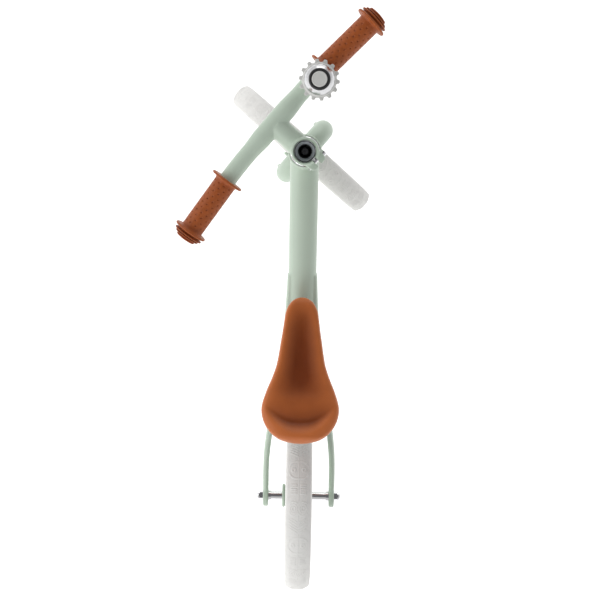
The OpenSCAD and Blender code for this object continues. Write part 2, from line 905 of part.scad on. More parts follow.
main_tube();
head_tube();
seat_tube();
left_stay();
right_stay();
seat_clamp();
seat_clamp_bolt();
upper_bearing();
lower_bearing();
rear_axle();
rear_spacers();
rear_washers();
rear_nuts();
rear_rim();
rear_tyre();
rear_hub_cap();
rear_bearings();
fork_crown();
left_fork_leg();
right_fork_leg();
steerer();
crown_race();
headset_cover();
top_plug();
top_bolt();
front_axle();
front_spacers();
front_washers();
front_nuts();
front_rim();
front_tyre();
front_hub_cap();
front_bearings();
stem();
stem_bolts();
handlebar();
left_grip();
right_grip();
bell_clamp();
bell_clamp_screw();
bell_dome();
bell_collar();
bell_cap();
bell_ring();
bell_striker();
seat_post();
saddle_plate();
saddle_bolts();
saddle_pan();
saddle_pad();
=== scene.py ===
import logging
import math
from dataclasses import dataclass, field
from enum import Enum

import bmesh
import bpy
from bmesh.types import BMesh, BMVert
from mathutils import Matrix, Vector


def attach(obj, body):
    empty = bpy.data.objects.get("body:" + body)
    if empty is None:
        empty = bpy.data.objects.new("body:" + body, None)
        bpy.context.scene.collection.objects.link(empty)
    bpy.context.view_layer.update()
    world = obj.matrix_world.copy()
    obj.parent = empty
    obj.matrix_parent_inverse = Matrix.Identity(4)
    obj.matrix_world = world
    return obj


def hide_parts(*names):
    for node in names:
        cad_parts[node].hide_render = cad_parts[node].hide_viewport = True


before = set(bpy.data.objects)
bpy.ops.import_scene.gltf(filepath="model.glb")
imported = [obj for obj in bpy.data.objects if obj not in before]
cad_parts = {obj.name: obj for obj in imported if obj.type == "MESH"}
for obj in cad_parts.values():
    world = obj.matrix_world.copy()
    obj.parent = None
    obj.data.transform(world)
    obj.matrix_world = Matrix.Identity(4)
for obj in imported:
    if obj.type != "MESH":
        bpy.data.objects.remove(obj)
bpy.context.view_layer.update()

LOG = logging.getLogger("balance_bike")
MM = 0.001
FULL_TURN = 2 * math.pi
MERGE_DISTANCE = 1e-6
SRGB_KNEE = 0.04045
SRGB_SLOPE = 12.92
SRGB_LIFT = 0.055
SRGB_POWER = 2.4
UPRIGHT = Matrix.Identity(4)

Point = tuple[float, float]
Colour = tuple[float, float, float]
Socket = bpy.types.NodeSocket


# ---- numbers and curves ----


def srgb(red: int, green: int, blue: int) -> Colour:
    """Turn a colour on the 0 to 255 scale into linear light.

    Args:
        red: Red share.
        green: Green share.
        blue: Blue share.

    Returns:
        The three linear shares, from 0 to 1.
    """
    def linear(value: float) -> float:
        """One channel in linear light."""
        share = value / 255
        if share <= SRGB_KNEE:
            return share / SRGB_SLOPE
        return ((share + SRGB_LIFT) / (1 + SRGB_LIFT)) ** SRGB_POWER

    return linear(red), linear(green), linear(blue)


def ease(value: float) -> float:
    """Smooth step from 0 to 1, flat at both ends."""
    value = min(max(value, 0.0), 1.0)
    return value * value * (3 - 2 * value)


def spline(table: list[Point], place: float) -> float:
    """Read a smooth curve through a table of points.

    Args:
        table: Points (place, value), in rising order of place.
        place: Where to read it.

    Returns:
        The value there.
    """
    last = len(table) - 1
    i = next((k for k in range(last) if place <= table[k + 1][0]), last - 1)
    (x0, y0), (x1, y1) = table[i], table[i + 1]

    def slope(k: int) -> float:
        """Slope of the curve at one point of the table."""
        low, high = table[max(k - 1, 0)], table[min(k + 1, last)]
        return (high[1] - low[1]) / (high[0] - low[0])

    span = x1 - x0
    s = min(max((place - x0) / span, 0.0), 1.0)
    return (
        (2 * s**3 - 3 * s**2 + 1) * y0
        + (s**3 - 2 * s**2 + s) * span * slope(i)
        + (3 * s**2 - 2 * s**3) * y1
        + (s**3 - s**2) * span * slope(i + 1)
    )


def rounded(corners: list[tuple[float, float, float]], loop: bool = True, steps: int = 4) -> list[Point]:
    """Round the corners of an outline.

    Args:
        corners: Corners (x, y, rounding) in order.
        loop: Whether the outline closes on itself.
        steps: Steps round each corner.

    Returns:
        The points of the rounded outline.
    """
    points: list[Point] = []
    count = len(corners)
    for i, (x, y, size) in enumerate(corners):
        if size <= 0 or (not loop and i in (0, count - 1)):
            points.append((x, y))
            continue
        here = Vector((x, y))
        before = Vector(corners[i - 1][:2]) - here
        after = Vector(corners[(i + 1) % count][:2]) - here
        reach = min(size, before.length * 0.49, after.length * 0.49)
        start, end = here + before.normalized() * reach, here + after.normalized() * reach
        for k in range(steps + 1):
            s = k / steps
            spot = start * (1 - s) ** 2 + here * (2 * s * (1 - s)) + end * s**2
            points.append((spot.x, spot.y))
    return points


def subdivided(points: list[Point], longest: float) -> list[Point]:
    """Break the long steps of a line into shorter ones.

    Args:
        points: The line.
        longest: Longest step left.

    Returns:
        The line with more points on it.
    """
    out = [points[0]]
    for (x0, y0), (x1, y1) in zip(points, points[1:]):
        parts = max(1, math.ceil(math.hypot(x1 - x0, y1 - y0) / longest))
        out += [(x0 + (x1 - x0) * k / parts, y0 + (y1 - y0) * k / parts) for k in range(1, parts + 1)]
    return out


def squarish(value: float, power: float) -> float:
    """Raise a sine or cosine to a power and keep its sign, which squares a circle off below 1."""
    return math.copysign(abs(value) ** power, value)


# ---- where things are ----


def turned(degrees: float, axis: str) -> Matrix:
    """Rotation about one axis, in degrees."""
    return Matrix.Rotation(math.radians(degrees), 4, axis)


@dataclass(frozen=True)
class Layout:
    """Where the bike's main lines run, in millimetres and degrees."""

    steering_x: float = 566.0
    steering_z: float = -4.434
    head_lean: float = 18.5
    steer_turn: float = 49.6
    rake: float = 6.0
    head_joint: float = 250.0
    seat_place: float = 230.0
    seat_lean: float = 18.0
    bar_rise: float = 407.0
    bar_reach: float = 51.5
    bar_taper_end: float = 45.0
    bar_bend: float = 600.0
    bar_bend_angle: float = 4.8
    bell_offset: float = 76.0
    bell_back: float = 7.0
    floor: float = -142.0

    def head(self) -> Matrix:
        """Steering axis as +Z, with the steering straight ahead."""
        return Matrix.Translation((self.steering_x, 0, self.steering_z)) @ turned(-self.head_lean, "Y")

    def steering(self) -> Matrix:
        """Steering axis as +Z, turned with the steering."""
        return self.head() @ turned(self.steer_turn, "Z")

    def front_axle(self) -> Matrix:
        """Front axle along +Y."""
        return self.steering() @ Matrix.Translation((self.rake, 0, 0))

    def main_end(self) -> Point:
        """Where the main tube meets the head tube, as X and Z."""
        lean = math.radians(self.head_lean)
        ahead, up = self.head_joint * math.sin(lean), self.head_joint * math.cos(lean)
        return self.steering_x - ahead, self.steering_z + up

    def main_slope(self) -> float:
        """Slope of the main tube, in degrees."""
        x, z = self.main_end()
        return math.degrees(math.atan2(z, x))

    def main_length(self) -> float:
        """Distance from the rear axle to the middle of the head tube."""
        return math.hypot(*self.main_end())

    def main_line(self) -> Matrix:
        """Main tube along +X."""
        return turned(-self.main_slope(), "Y")

    def seat(self) -> Matrix:
        """Seat tube along +Z, from the main tube's centre line."""
        slope = math.radians(self.main_slope())
        place = (self.seat_place * math.cos(slope), 0, self.seat_place * math.sin(slope))
        return Matrix.Translation(place) @ turned(-self.seat_lean, "Y")

    def bar_point(self, out: float) -> tuple[Vector, float]:
        """Find a place on the handlebar's centre line.

        Args:
            out: Distance along the bar from its middle, to the left above 0.

        Returns:
            The place and the bar's angle there, in radians.
        """
        most = math.radians(self.bar_bend_angle)
        angle = min(most, max(0.0, (abs(out) - self.bar_taper_end) / self.bar_bend))
        past = max(0.0, abs(out) - self.bar_taper_end - self.bar_bend * most)
        back = self.bar_bend * (1 - math.cos(angle)) + past * math.sin(angle)
        side = min(abs(out), self.bar_taper_end) + self.bar_bend * math.sin(angle) + past * math.cos(angle)
        sign = -1 if out < 0 else 1
        return Vector((self.bar_reach - back, sign * side, self.bar_rise)), sign * angle

    def bend_end(self) -> float:
        """Distance along the bar from its middle to where its straight end starts."""
        return self.bar_taper_end + self.bar_bend * math.radians(self.bar_bend_angle)

    def grip(self, side: int) -> Matrix:
        """Straight end of the bar along +Z, outwards; side is 1 on the left and -1 on the right."""
        spot, angle = self.bar_point(side * self.bend_end())
        place = self.steering() @ Matrix.Translation(spot)
        return place @ Matrix.Rotation(angle, 4, "Z") @ turned(-90 * side, "X")

    def bell(self) -> Matrix:
        """Bell's own axis as +Z, from the height of the bar's centre line."""
        turn = math.asin((self.bell_offset - self.bar_taper_end) / self.bar_bend)
        x = self.bar_reach - self.bar_bend * (1 - math.cos(turn))
        place = self.steering() @ Matrix.Translation((x, -self.bell_offset, self.bar_rise))
        return place @ Matrix.Rotation(-turn, 4, "Z") @ Matrix.Translation((-self.bell_back, 0, 0))


LAYOUT = Layout()


# ---- meshes ----


def skin(mesh: BMesh, rings: list[list[Vector]], joined: bool = False) -> None:
    """Draw a skin through closed rings of points, as a grid laid over them.

    Args:
        mesh: Where to draw it.
        rings: Rings with the same number of points.
        joined: Whether the last ring joins the first; otherwise both ends are closed.
    """
    columns = len(rings[0])
    loops = rings + [rings[0]] if joined else rings
    made = bmesh.ops.create_grid(mesh, x_segments=columns, y_segments=len(loops) - 1, size=1)["verts"]
    for row, points in enumerate(loops):
        for column in range(columns + 1):
            made[row * (columns + 1) + column].co = points[column % columns]
    bmesh.ops.remove_doubles(mesh, verts=made, dist=MERGE_DISTANCE)
    if not joined:
        open_edges = [edge for edge in mesh.edges if edge.is_boundary]
        bmesh.ops.holes_fill(mesh, edges=open_edges, sides=0)


def circle(radius: float, count: int, place: Matrix, flat: float = 1.0) -> list[Vector]:
    """Ring of points about a place's Z axis.

    Args:
        radius: Radius along X.
        count: Number of points.
        place: Where the ring lies.
        flat: Radius along Y as a share of the radius.

    Returns:
        The points.
    """
    steps = [FULL_TURN * k / count for k in range(count)]
    return [place @ Vector((radius * math.cos(t), radius * flat * math.sin(t), 0)) for t in steps]


def spin(
    mesh: BMesh, outline: list[Point], place: Matrix = UPRIGHT, steps: int = 96, loop: bool = True
) -> None:
    """Turn an outline of (radius, height) about a place's Z axis.

    Args:
        mesh: Where to draw it.
        outline: The outline's points.
        place: Where the axis is.
        steps: Steps round the axis.
        loop: Whether the outline closes on itself.
    """
    verts = [mesh.verts.new((radius, 0, height)) for radius, height in outline]
    pairs = list(zip(verts, verts[1:])) + ([(verts[-1], verts[0])] if loop else [])
    edges = [mesh.edges.new(pair) for pair in pairs]
    before = set(mesh.verts) - set(verts)
    bmesh.ops.spin(
        mesh, geom=verts + edges, cent=(0, 0, 0), axis=(0, 0, 1), dvec=(0, 0, 0),
        angle=FULL_TURN, steps=steps, use_merge=True, use_duplicate=False,
    )
    made = [vert for vert in mesh.verts if vert not in before]
    bmesh.ops.remove_doubles(mesh, verts=made, dist=MERGE_DISTANCE)
    made = [vert for vert in mesh.verts if vert not in before]
    bmesh.ops.transform(mesh, matrix=place, verts=made)


def solid(
    mesh: BMesh, outline: list[Point], low: float, high: float, place: Matrix, bevel: float = 0.0
) -> None:
    """Extrude a flat outline into a solid with its edges broken.

    Args:
        mesh: Where to draw it.
        outline: Outline in X and Y.
        low: Where it starts along Z.
        high: Where it ends.
        place: Where the outline lies.
        bevel: Width of the broken edges.
    """
    verts = [mesh.verts.new((x, y, low)) for x, y in outline]
    face = mesh.faces.new(verts)
    made = bmesh.ops.extrude_face_region(mesh, geom=[face], use_keep_orig=True)["geom"]
    top = [item for item in made if isinstance(item, BMVert)]
    bmesh.ops.translate(mesh, verts=top, vec=(0, 0, high - low))
    every = verts + top
    inside = set(every)
    if bevel > 0:
        rims = [
            edge for edge in mesh.edges
            if edge.verts[0] in inside and edge.verts[1] in inside
            and abs(edge.verts[0].co.z - edge.verts[1].co.z) < MERGE_DISTANCE
        ]
        before = set(mesh.verts) - inside
        bmesh.ops.bevel(
            mesh, geom=rims, offset=bevel, offset_type="OFFSET", segments=3,
            profile=0.5, affect="EDGES", material=-1, clamp_overlap=True,
        )
        every = [vert for vert in mesh.verts if vert not in before]
    bmesh.ops.transform(mesh, matrix=place, verts=every)


def barrel(
    mesh: BMesh, radius: float, low: float, high: float, place: Matrix, edge: float = 0.0, steps: int = 72
) -> None:
    """Solid round bar along a place's Z axis with its ends broken."""
    outline = rounded([(0, low, 0), (radius, low, edge), (radius, high, edge), (0, high, 0)], loop=False)
    spin(mesh, outline, place, steps, loop=False)


def to_metres(mesh: BMesh) -> BMesh:
    """Scale a mesh drawn in millimetres on the bike's own axes."""
    bmesh.ops.transform(mesh, matrix=Matrix.Scale(MM, 4), verts=mesh.verts)
    return mesh


def bore(radius: float, low: float, high: float, place: Matrix) -> BMesh:
    """Round cutter along a place's Z axis, in metres."""
    cut = bmesh.new()
    barrel(cut, radius, low, high, place, 0, 96)
    return to_metres(cut)


def tube(mesh: BMesh, path: list[tuple[Vector, Vector, float]], side: Vector, count: int = 48) -> None:
    """Sweep a round section along a path.

    Args:
        mesh: Where to draw it.
        path: For each station its place, its direction and its radius.
        side: A direction square to the whole path.
        count: Points round the section.
    """
    rings = []
    for spot, way, radius in path:
        way = way.normalized()
        across = side.normalized()
        turn = Matrix((across, way.cross(across), way)).transposed().to_4x4()
        rings.append(circle(radius, count, Matrix.Translation(spot) @ turn))
    skin(mesh, rings)


def placed(name: str, data: bpy.types.ID) -> bpy.types.Object:
    """Put an object with some data into the scene."""
    made = bpy.data.objects.new(name, data)
    bpy.context.scene.collection.objects.link(made)
    return made


def shaded(data: bpy.types.Mesh, sharp: float) -> None:
    """Shade a mesh smooth, but for edges sharper than an angle in degrees."""
    mesh = bmesh.new()
    mesh.from_mesh(data)
    bmesh.ops.recalc_face_normals(mesh, faces=mesh.faces)
    for face in mesh.faces:
        face.smooth = True
    for edge in mesh.edges:
        edge.smooth = len(edge.link_faces) != 2 or edge.calc_face_angle() < math.radians(sharp)
    mesh.to_mesh(data)
    mesh.free()


def welded(
    name: str, mesh: BMesh, grain: float, passes: int, cuts: list[BMesh]
) -> bpy.types.Object:
    """Run overlapping solids together as welded and filled joints, then cut bores out of them.

    Args:
        name: Name of the object made.
        mesh: The solids, in metres and in place.
        grain: Size of the grid they are run together on, in metres.
        passes: How often the joints are smoothed.
        cuts: Solids to cut away, in metres and in place.

    Returns:
        The new object, with its mesh finished.
    """
    bodies = []
    for i, part in enumerate([mesh] + cuts):
        bmesh.ops.recalc_face_normals(part, faces=part.faces)
        data = bpy.data.meshes.new(f"{name}_{i}")
        part.to_mesh(data)
        part.free()
        bodies.append(placed(f"{name}_{i}", data))
    whole = bodies[0]
    remesh = whole.modifiers.new("run_together", "REMESH")
    remesh.mode, remesh.voxel_size = "VOXEL", grain
    relax = whole.modifiers.new("fillet", "SMOOTH")
    relax.factor, relax.iterations = 0.5, passes
    for i, body in enumerate(bodies[1:]):
        cut = whole.modifiers.new(f"cut_{i}", "BOOLEAN")
        cut.operation, cut.solver, cut.object = "DIFFERENCE", "EXACT", body
    bpy.context.view_layer.update()
    graph = bpy.context.evaluated_depsgraph_get()
    data = bpy.data.meshes.new_from_object(whole.evaluated_get(graph))
    for body in bodies:
        bpy.data.objects.remove(body)
    data.name = name
    data.materials.clear()
    return placed(name, data)


# ---- finishes ----


class Graph:
    """Wires up the nodes of one material."""

    def __init__(self, name: str) -> None:
        """Start a material with the usual surface shader."""
        self.material = bpy.data.materials.new(name)
        self.material.use_nodes = True
        self.tree = self.material.node_tree
        self.surface = self.tree.nodes["Principled BSDF"]
        self.place = self.node("ShaderNodeTexCoord").outputs["Object"]

    def node(self, kind: str) -> bpy.types.Node:
        """Add a node."""
        return self.tree.nodes.new(kind)

    def join(self, source: Socket, target: Socket) -> None:
        """Join two sockets."""
        self.tree.links.new(source, target)

    def cloud(self, size: float, detail: float = 3.0, stretch: Colour = (1.0, 1.0, 1.0)) -> Socket:
        """Soft random pattern.

        Args:
            size: Size of its patches, in millimetres.
            detail: How many finer layers it has.
            stretch: How much finer it is along each axis.

        Returns:
            Its value, from 0 to 1.
        """
        mapping = self.node("ShaderNodeMapping")
        mapping.inputs["Scale"].default_value = stretch
        self.join(self.place, mapping.inputs["Vector"])
        noise = self.node("ShaderNodeTexNoise")
        noise.inputs["Scale"].default_value = 1 / (size * MM)
        noise.inputs["Detail"].default_value = detail
        self.join(mapping.outputs["Vector"], noise.inputs["Vector"])
        return noise.outputs["Fac"]

    def cells(self, size: float, feature: str = "F1") -> Socket:
        """Random cells.

        Args:
            size: Size of a cell, in millimetres.
            feature: Which distance is read.

        Returns:
            The distance from each cell's middle or edge.
        """
        cells = self.node("ShaderNodeTexVoronoi")
        cells.feature = feature
        cells.inputs["Scale"].default_value = 1 / (size * MM)
        self.join(self.place, cells.inputs["Vector"])
        return cells.outputs["Distance"]

    def spread(self, value: Socket, low: float, high: float, start: float = 0.3, end: float = 0.7) -> Socket:
        """Map a pattern's values on to a range.

        Args:
            value: The pattern.
            low: Result at its start.
            high: Result at its end.
            start: Pattern value that gives low.
            end: Pattern value that gives high.

        Returns:
            The mapped value.
        """
        fit = self.node("ShaderNodeMapRange")
        for name, number in (("From Min", start), ("From Max", end), ("To Min", low), ("To Max", high)):
            fit.inputs[name].default_value = number
        self.join(value, fit.inputs["Value"])
        return fit.outputs["Result"]

    def shades(self, value: Socket, low: Colour, high: Colour) -> Socket:
        """Blend two colours by a pattern."""
        ramp = self.node("ShaderNodeValToRGB")
        for stop, place, colour in zip(ramp.color_ramp.elements, (0.3, 0.7), (low, high)):
            stop.position, stop.color = place, (*colour, 1.0)
        self.join(value, ramp.inputs["Fac"])
        return ramp.outputs["Color"]

    def raised(self, height: Socket, depth: float, over: Socket | None = None) -> Socket:
        """Raise the surface by a pattern.

        Args:
            height: The pattern.
            depth: Height of its hills, in millimetres.
            over: A coarser relief that it lies on.

        Returns:
            The surface's normal.
        """
        bump = self.node("ShaderNodeBump")
        bump.inputs["Strength"].default_value = 1.0
        bump.inputs["Distance"].default_value = depth * MM
        self.join(height, bump.inputs["Height"])
        if over is not None:
            self.join(over, bump.inputs["Normal"])
        return bump.outputs["Normal"]


SHEEN_ROUGHNESS = 0.4
SHEEN_TINT = (1.0, 0.66, 0.42, 1.0)


def scaled(colour: Colour, share: float) -> Colour:
    """A colour made lighter or darker by a share."""
    return tuple(min(1.0, part * share) for part in colour)


@dataclass(frozen=True)
class Finish:
    """A finish: its colour, gloss and fine texture."""

    name: str
    slot: str
    colour: Colour
    rough: float
    mottle: float = 0.03
    patch: float = 14.0
    grain: float = 1.2
    relief: float = 0.01
    metal: float = 0.0
    sheen: float = 0.0
    gleam: float = 0.5

    def material(self) -> bpy.types.Material:
        """Give the finish's material, made the first time it is asked for."""
        found = bpy.data.materials.get(self.name)
        if found is not None:
            return found
        graph = Graph(self.name)
        surface = graph.surface.inputs
        surface["Metallic"].default_value = self.metal
        surface["Specular IOR Level"].default_value = self.gleam
        surface["Sheen Weight"].default_value = self.sheen
        surface["Sheen Roughness"].default_value = SHEEN_ROUGHNESS
        surface["Sheen Tint"].default_value = SHEEN_TINT
        self.dress(graph)
        return graph.material

    def mottled(self, graph: Graph, pattern: Socket, colour: Colour) -> Socket:
        """Vary a colour by a pattern, as much as the finish is mottled."""
        return graph.shades(pattern, scaled(colour, 1 - self.mottle), scaled(colour, 1 + self.mottle))

    def wire(self, graph: Graph, colour: Socket, gloss: Socket, relief: Socket) -> None:
        """Join colour, gloss and relief to the surface shader."""
        surface = graph.surface.inputs
        for name, source in (("Base Color", colour), ("Roughness", gloss), ("Normal", relief)):
            graph.join(source, surface[name])

    def dress(self, graph: Graph) -> None:
        """Add colour, gloss and relief to a material."""
        colour = self.mottled(graph, graph.cloud(self.patch), self.colour)
        gloss = graph.spread(graph.cloud(self.patch * 0.6, 4), self.rough * 0.88, self.rough * 1.12)
        self.wire(graph, colour, gloss, graph.raised(graph.cloud(self.grain), self.relief))


@dataclass(frozen=True)
class Paint(Finish):
    """Satin powder coat: a soft orange peel under a fine grain."""

    def dress(self, graph: Graph) -> None:
        """Add colour, gloss and relief to a material."""
        colour = self.mottled(graph, graph.cloud(40, 2), self.colour)
        gloss = graph.spread(graph.cloud(9, 4), self.rough - 0.04, self.rough + 0.05)
        peel = graph.raised(graph.cloud(2.6, 1), self.relief * 2)
        self.wire(graph, colour, gloss, graph.raised(graph.cloud(0.5, 2), self.relief * 0.25, peel))


@dataclass(frozen=True)
class Foam(Finish):
    """Closed-cell foam: tiny cells, slight clouds of grey and a dry, matte skin."""

    def dress(self, graph: Graph) -> None:
        """Add colour, gloss and relief to a material."""
        cells = graph.cells(0.9)
        clouds = graph.cloud(7, 5)
        mix = graph.node("ShaderNodeMath")
        mix.operation = "MULTIPLY_ADD"
        mix.inputs[1].default_value = 0.35
        graph.join(cells, mix.inputs[0])
        graph.join(clouds, mix.inputs[2])
        colour = self.mottled(graph, mix.outputs[0], self.colour)
        gloss = graph.spread(graph.cloud(3), self.rough - 0.06, self.rough + 0.06)
        skin_relief = graph.raised(graph.cloud(2.4, 4), self.relief * 3)
        self.wire(graph, colour, gloss, graph.raised(cells, self.relief, skin_relief))


@dataclass(frozen=True)
class Leatherette(Finish):
    """Soft cover: fine pebbled grain, darker down in the seat's dish, partly as the cover's own darker tone
    and partly as painted shade.
    """

    # Colour at the bottom of the seat's dish: partly the cover's darker tone, partly painted shade.
    hollow_tone_and_shade: Colour = (0.1, 0.02, 0.004)

    def dress(self, graph: Graph) -> None:
        """Add colour, gloss and relief to a material."""
        patches = graph.cloud(25, 3)
        # Painted shade: the colour darkens with the depth of the dish, standing partly for shade falling into
        # it and partly for a darker tone.
        hollow_tone_and_shade_mask = graph.node("ShaderNodeAttribute")
        hollow_tone_and_shade_mask.attribute_name = "hollow_tone_and_shade"
        mix = graph.node("ShaderNodeMix")
        mix.data_type = "RGBA"
        graph.join(graph.spread(hollow_tone_and_shade_mask.outputs["Fac"], 0, 1, 0, 1), mix.inputs["Factor"])
        for slot, colour in ((6, self.colour), (7, self.hollow_tone_and_shade)):
            graph.join(self.mottled(graph, patches, colour), mix.inputs[slot])
        gloss = graph.spread(graph.cloud(6, 3), self.rough - 0.05, self.rough + 0.06)
        wrinkles = graph.raised(graph.cloud(3.5, 2), self.relief * 2)
        pebbles = graph.cells(self.grain, "DISTANCE_TO_EDGE")
        self.wire(graph, mix.outputs[2], gloss, graph.raised(pebbles, self.relief, wrinkles))


@dataclass(frozen=True)
class Brushed(Finish):
    """Metal with fine lines round or along it."""

    def dress(self, graph: Graph) -> None:
        """Add colour, gloss and relief to a material."""
        lines = graph.cloud(1.5, 4, (1.0, 6.0, 1.0))
        gloss = graph.spread(lines, self.rough * 0.75, self.rough * 1.25)
        self.wire(graph, self.mottled(graph, lines, self.colour), gloss, graph.raised(lines, self.relief))


SAGE = srgb(186, 201, 185)


class Look(Enum):
    """The finishes used on the bike."""

    PAINT = Paint("sage_powder_coat", "sage_paint", SAGE, 0.38, mottle=0.02, relief=0.006)
    MOULDED = Finish("sage_moulding", "sage_plastic", SAGE, 0.42, mottle=0.02, grain=0.8, relief=0.012)
    FOAM = Foam("foam_tyre_skin", "foam_tyre", srgb(226, 225, 222), 0.78, mottle=0.06, relief=0.05)
    GRIP = Finish(
        "grip_rubber_brown", "grip_rubber", srgb(158, 80, 34), 0.46,
        mottle=0.1, patch=5, grain=0.6, relief=0.02, sheen=0.05, gleam=0.3,
    )
    # The cover's dish colour below is partly its own darker tone and partly painted shade.
    COVER = Leatherette(
        "saddle_cover_brown", "saddle_cover", srgb(190, 106, 56), 0.42,
        mottle=0.06, grain=0.9, relief=0.02, sheen=0.18, hollow_tone_and_shade=srgb(110, 47, 12), gleam=0.24,
    )
    CHROME = Finish(
        "bright_chrome_plate", "bright_chrome", (0.78, 0.78, 0.79), 0.10,
        mottle=0.02, patch=6, grain=4, relief=0.004, metal=1.0,
    )
    STEEL = Brushed(
        "brushed_steel_plain", "plain_steel", (0.62, 0.62, 0.63), 0.28, mottle=0.08, relief=0.004, metal=1.0,
    )
    BLACK = Finish(
        "black_moulding", "black_plastic", (0.022, 0.022, 0.023), 0.32,
        mottle=0.2, patch=4, grain=0.7, relief=0.012,
    )
    CAST = Finish(
        "grey_zinc_casting", "black_steel", (0.5, 0.52, 0.56), 0.5,
        mottle=0.15, patch=4, grain=1.2, relief=0.02,
    )
    SATIN = Brushed(
        "satin_chrome", "bright_chrome", (0.62, 0.62, 0.63), 0.24, mottle=0.05, relief=0.002, metal=1.0,
    )
    DARK_STEEL = Finish(
        "dark_zinc_casting", "black_steel", (0.1, 0.1, 0.105), 0.28,
        mottle=0.25, patch=4, grain=1.6, relief=0.03, metal=1.0,
    )
    POLISHED = Brushed(
        "polished_steel", "plain_steel", (0.66, 0.66, 0.67), 0.16, mottle=0.06, relief=0.002, metal=1.0,
    )
    BLACK_PAINT = Paint("black_enamel", "black_steel", (0.02, 0.02, 0.02), 0.3, mottle=0.1, relief=0.006)
    PALE = Finish(
        "pale_grey_moulding", "pale_grey_plastic", srgb(206, 206, 203), 0.4,
        mottle=0.02, patch=5, grain=0.7, relief=0.01,
    )


CARRIED: dict[Look, tuple[str, ...]] = {
    Look.CHROME: (
        "rear_nuts", "front_nuts", "rear_spacers", "front_spacers", "rear_washers", "front_washers",
        "stem_bolts", "bell_clamp_screw", "seat_clamp_bolt", "saddle_bolts",
    ),
    Look.STEEL: (
        "rear_axle", "front_axle", "upper_bearing", "lower_bearing", "rear_bearings", "front_bearings",
        "crown_race", "seat_post", "seat_clamp", "bell_striker",
    ),
    Look.BLACK: ("saddle_pan", "bell_clamp"),
    Look.BLACK_PAINT: ("saddle_plate",),
    Look.DARK_STEEL: ("top_bolt",),
}


def dress_carried() -> None:
    """Give each CAD node that stays its finish."""
    for look, nodes in CARRIED.items():
        for name in nodes:
            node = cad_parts[name]
            node.data.materials.clear()
            node.data.materials.append(look.value.material())
            LOG.info("%s keeps its CAD shape, in %s", name, look.value.name)


def finish_piece(
    piece: bpy.types.Object, look: Look, body: str, stands_for: tuple[str, ...], sharp: float
) -> bpy.types.Object:
    """Shade a piece, dress it, hang it on its body and hide the CAD nodes it replaces.

    Args:
        piece: The piece, in place.
        look: Its finish.
        body: CAD body that it rides on.
        stands_for: CAD nodes that it replaces.
        sharp: Edges sharper than this angle, in degrees, stay sharp.

    Returns:
        The piece.
    """
    shaded(piece.data, sharp)
    piece.data.materials.append(look.value.material())
    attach(piece, body)
    if stands_for:
        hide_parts(*stands_for)
    LOG.info("%s: %d faces, on %s", piece.name, len(piece.data.polygons), body)
    return piece


def new_piece(
    name: str, mesh: BMesh, place: Matrix, look: Look, body: str, stands_for: tuple[str, ...], sharp: float
) -> bpy.types.Object:
    """Make a piece out of a mesh drawn in millimetres.

    Args:
        name: Name of the piece.
        mesh: Its mesh.
        place: Where the mesh's own axes lie on the bike.
        look: Its finish.
        body: CAD body that it rides on.
        stands_for: CAD nodes that it replaces.
        sharp: Edges sharper than this angle, in degrees, stay sharp.

    Returns:
        The piece.
    """
    bmesh.ops.transform(mesh, matrix=Matrix.Scale(MM, 4) @ place, verts=mesh.verts)
    data = bpy.data.meshes.new(name)
    mesh.to_mesh(data)
    mesh.free()
    return finish_piece(placed(name, data), look, body, stands_for, sharp)


@dataclass(frozen=True)
class Turning:
    """Pieces turned about the axis of one place, all on one body."""

    place: Matrix
    body: str

    def piece(
        self, name: str, stands_for: tuple[str, ...], look: Look, outline: list[Point], steps: int = 96,
        sharp: float = 35, loop: bool = True,
    ) -> None:
        """Build one turned piece.

        Args:
            name: Name of the piece.
            stands_for: CAD nodes that it replaces.
            look: Its finish.
            outline: Its section as (radius, height).
            steps: Steps round the axis.
            sharp: Edges sharper than this angle, in degrees, stay sharp.
            loop: Whether the section closes on itself.
        """
        mesh = bmesh.new()
        spin(mesh, outline, UPRIGHT, steps, loop)
        new_piece(name, mesh, self.place, look, self.body, stands_for, sharp)


# ---- wheels ----


class Mark(Enum):
    """Marks moulded on the tyre's tread, in turn."""

    LOOPS = 0
    CHEVRONS = 1
    EYES = 2
    BARS = 3


@dataclass(frozen=True)
class Tread:
    """Plain loops and chevrons moulded on the crown of the tyre, mirrored about its seam."""

    marks: int = 32
    stroke: float = 0.9
    edge: float = 0.75
    height: float = 0.6
    band: float = 15.0

    def distance(self, mark: Mark, along: float, across: float) -> float:
        """Distance from a spot to the nearest stroke of a mark.

        Args:
            mark: Which mark.
            along: Distance round the tyre from the mark's middle.
            across: Distance from the tyre's middle plane, 0 or more.

        Returns:
            The distance, in millimetres.
        """
        if mark is Mark.LOOPS:
            reach = math.hypot(along * 0.78, across - 6.6)
            return min(abs(reach - size) for size in (2.4, 5.0, 7.6)) if reach < 9 else self.band
        if mark is Mark.CHEVRONS:
            row = along + across * 0.55
            return abs((row + 2) % 4 - 2) if abs(row) < 10 and across > 1.2 else self.band
        if mark is Mark.EYES:
            reach = math.hypot(along, across - 7.5)
            outer = math.hypot(along * 0.9, across - 3)
            return min(abs(reach - 2.6), abs(outer - 11.5))
        return abs((along + 1.6) % 3.2 - 1.6) if abs(along) < 9 and 2 < across < 11 else self.band

    def rise(self, along: float, across: float, girth: float) -> float:
        """Height of the tread's marks at a spot of the tyre's skin.

        Args:
            along: Distance round the tyre.
            across: Distance from the middle plane.
            girth: Distance once round the tyre.

        Returns:
            The height, in millimetres.
        """
        seam = 0.35 * (1 - ease((abs(across) - 0.25) / 0.5))
        if abs(across) > self.band:
            return 0.0
        pitch = girth / self.marks
        cell = int(along / pitch)
        away = self.distance(Mark(cell % len(Mark)), along - (cell + 0.5) * pitch, abs(across))
        fade = 1 - ease((abs(across) - 12) / 3)
        return max(self.height * fade * (1 - ease((away - self.stroke / 2) / self.edge)), seam)


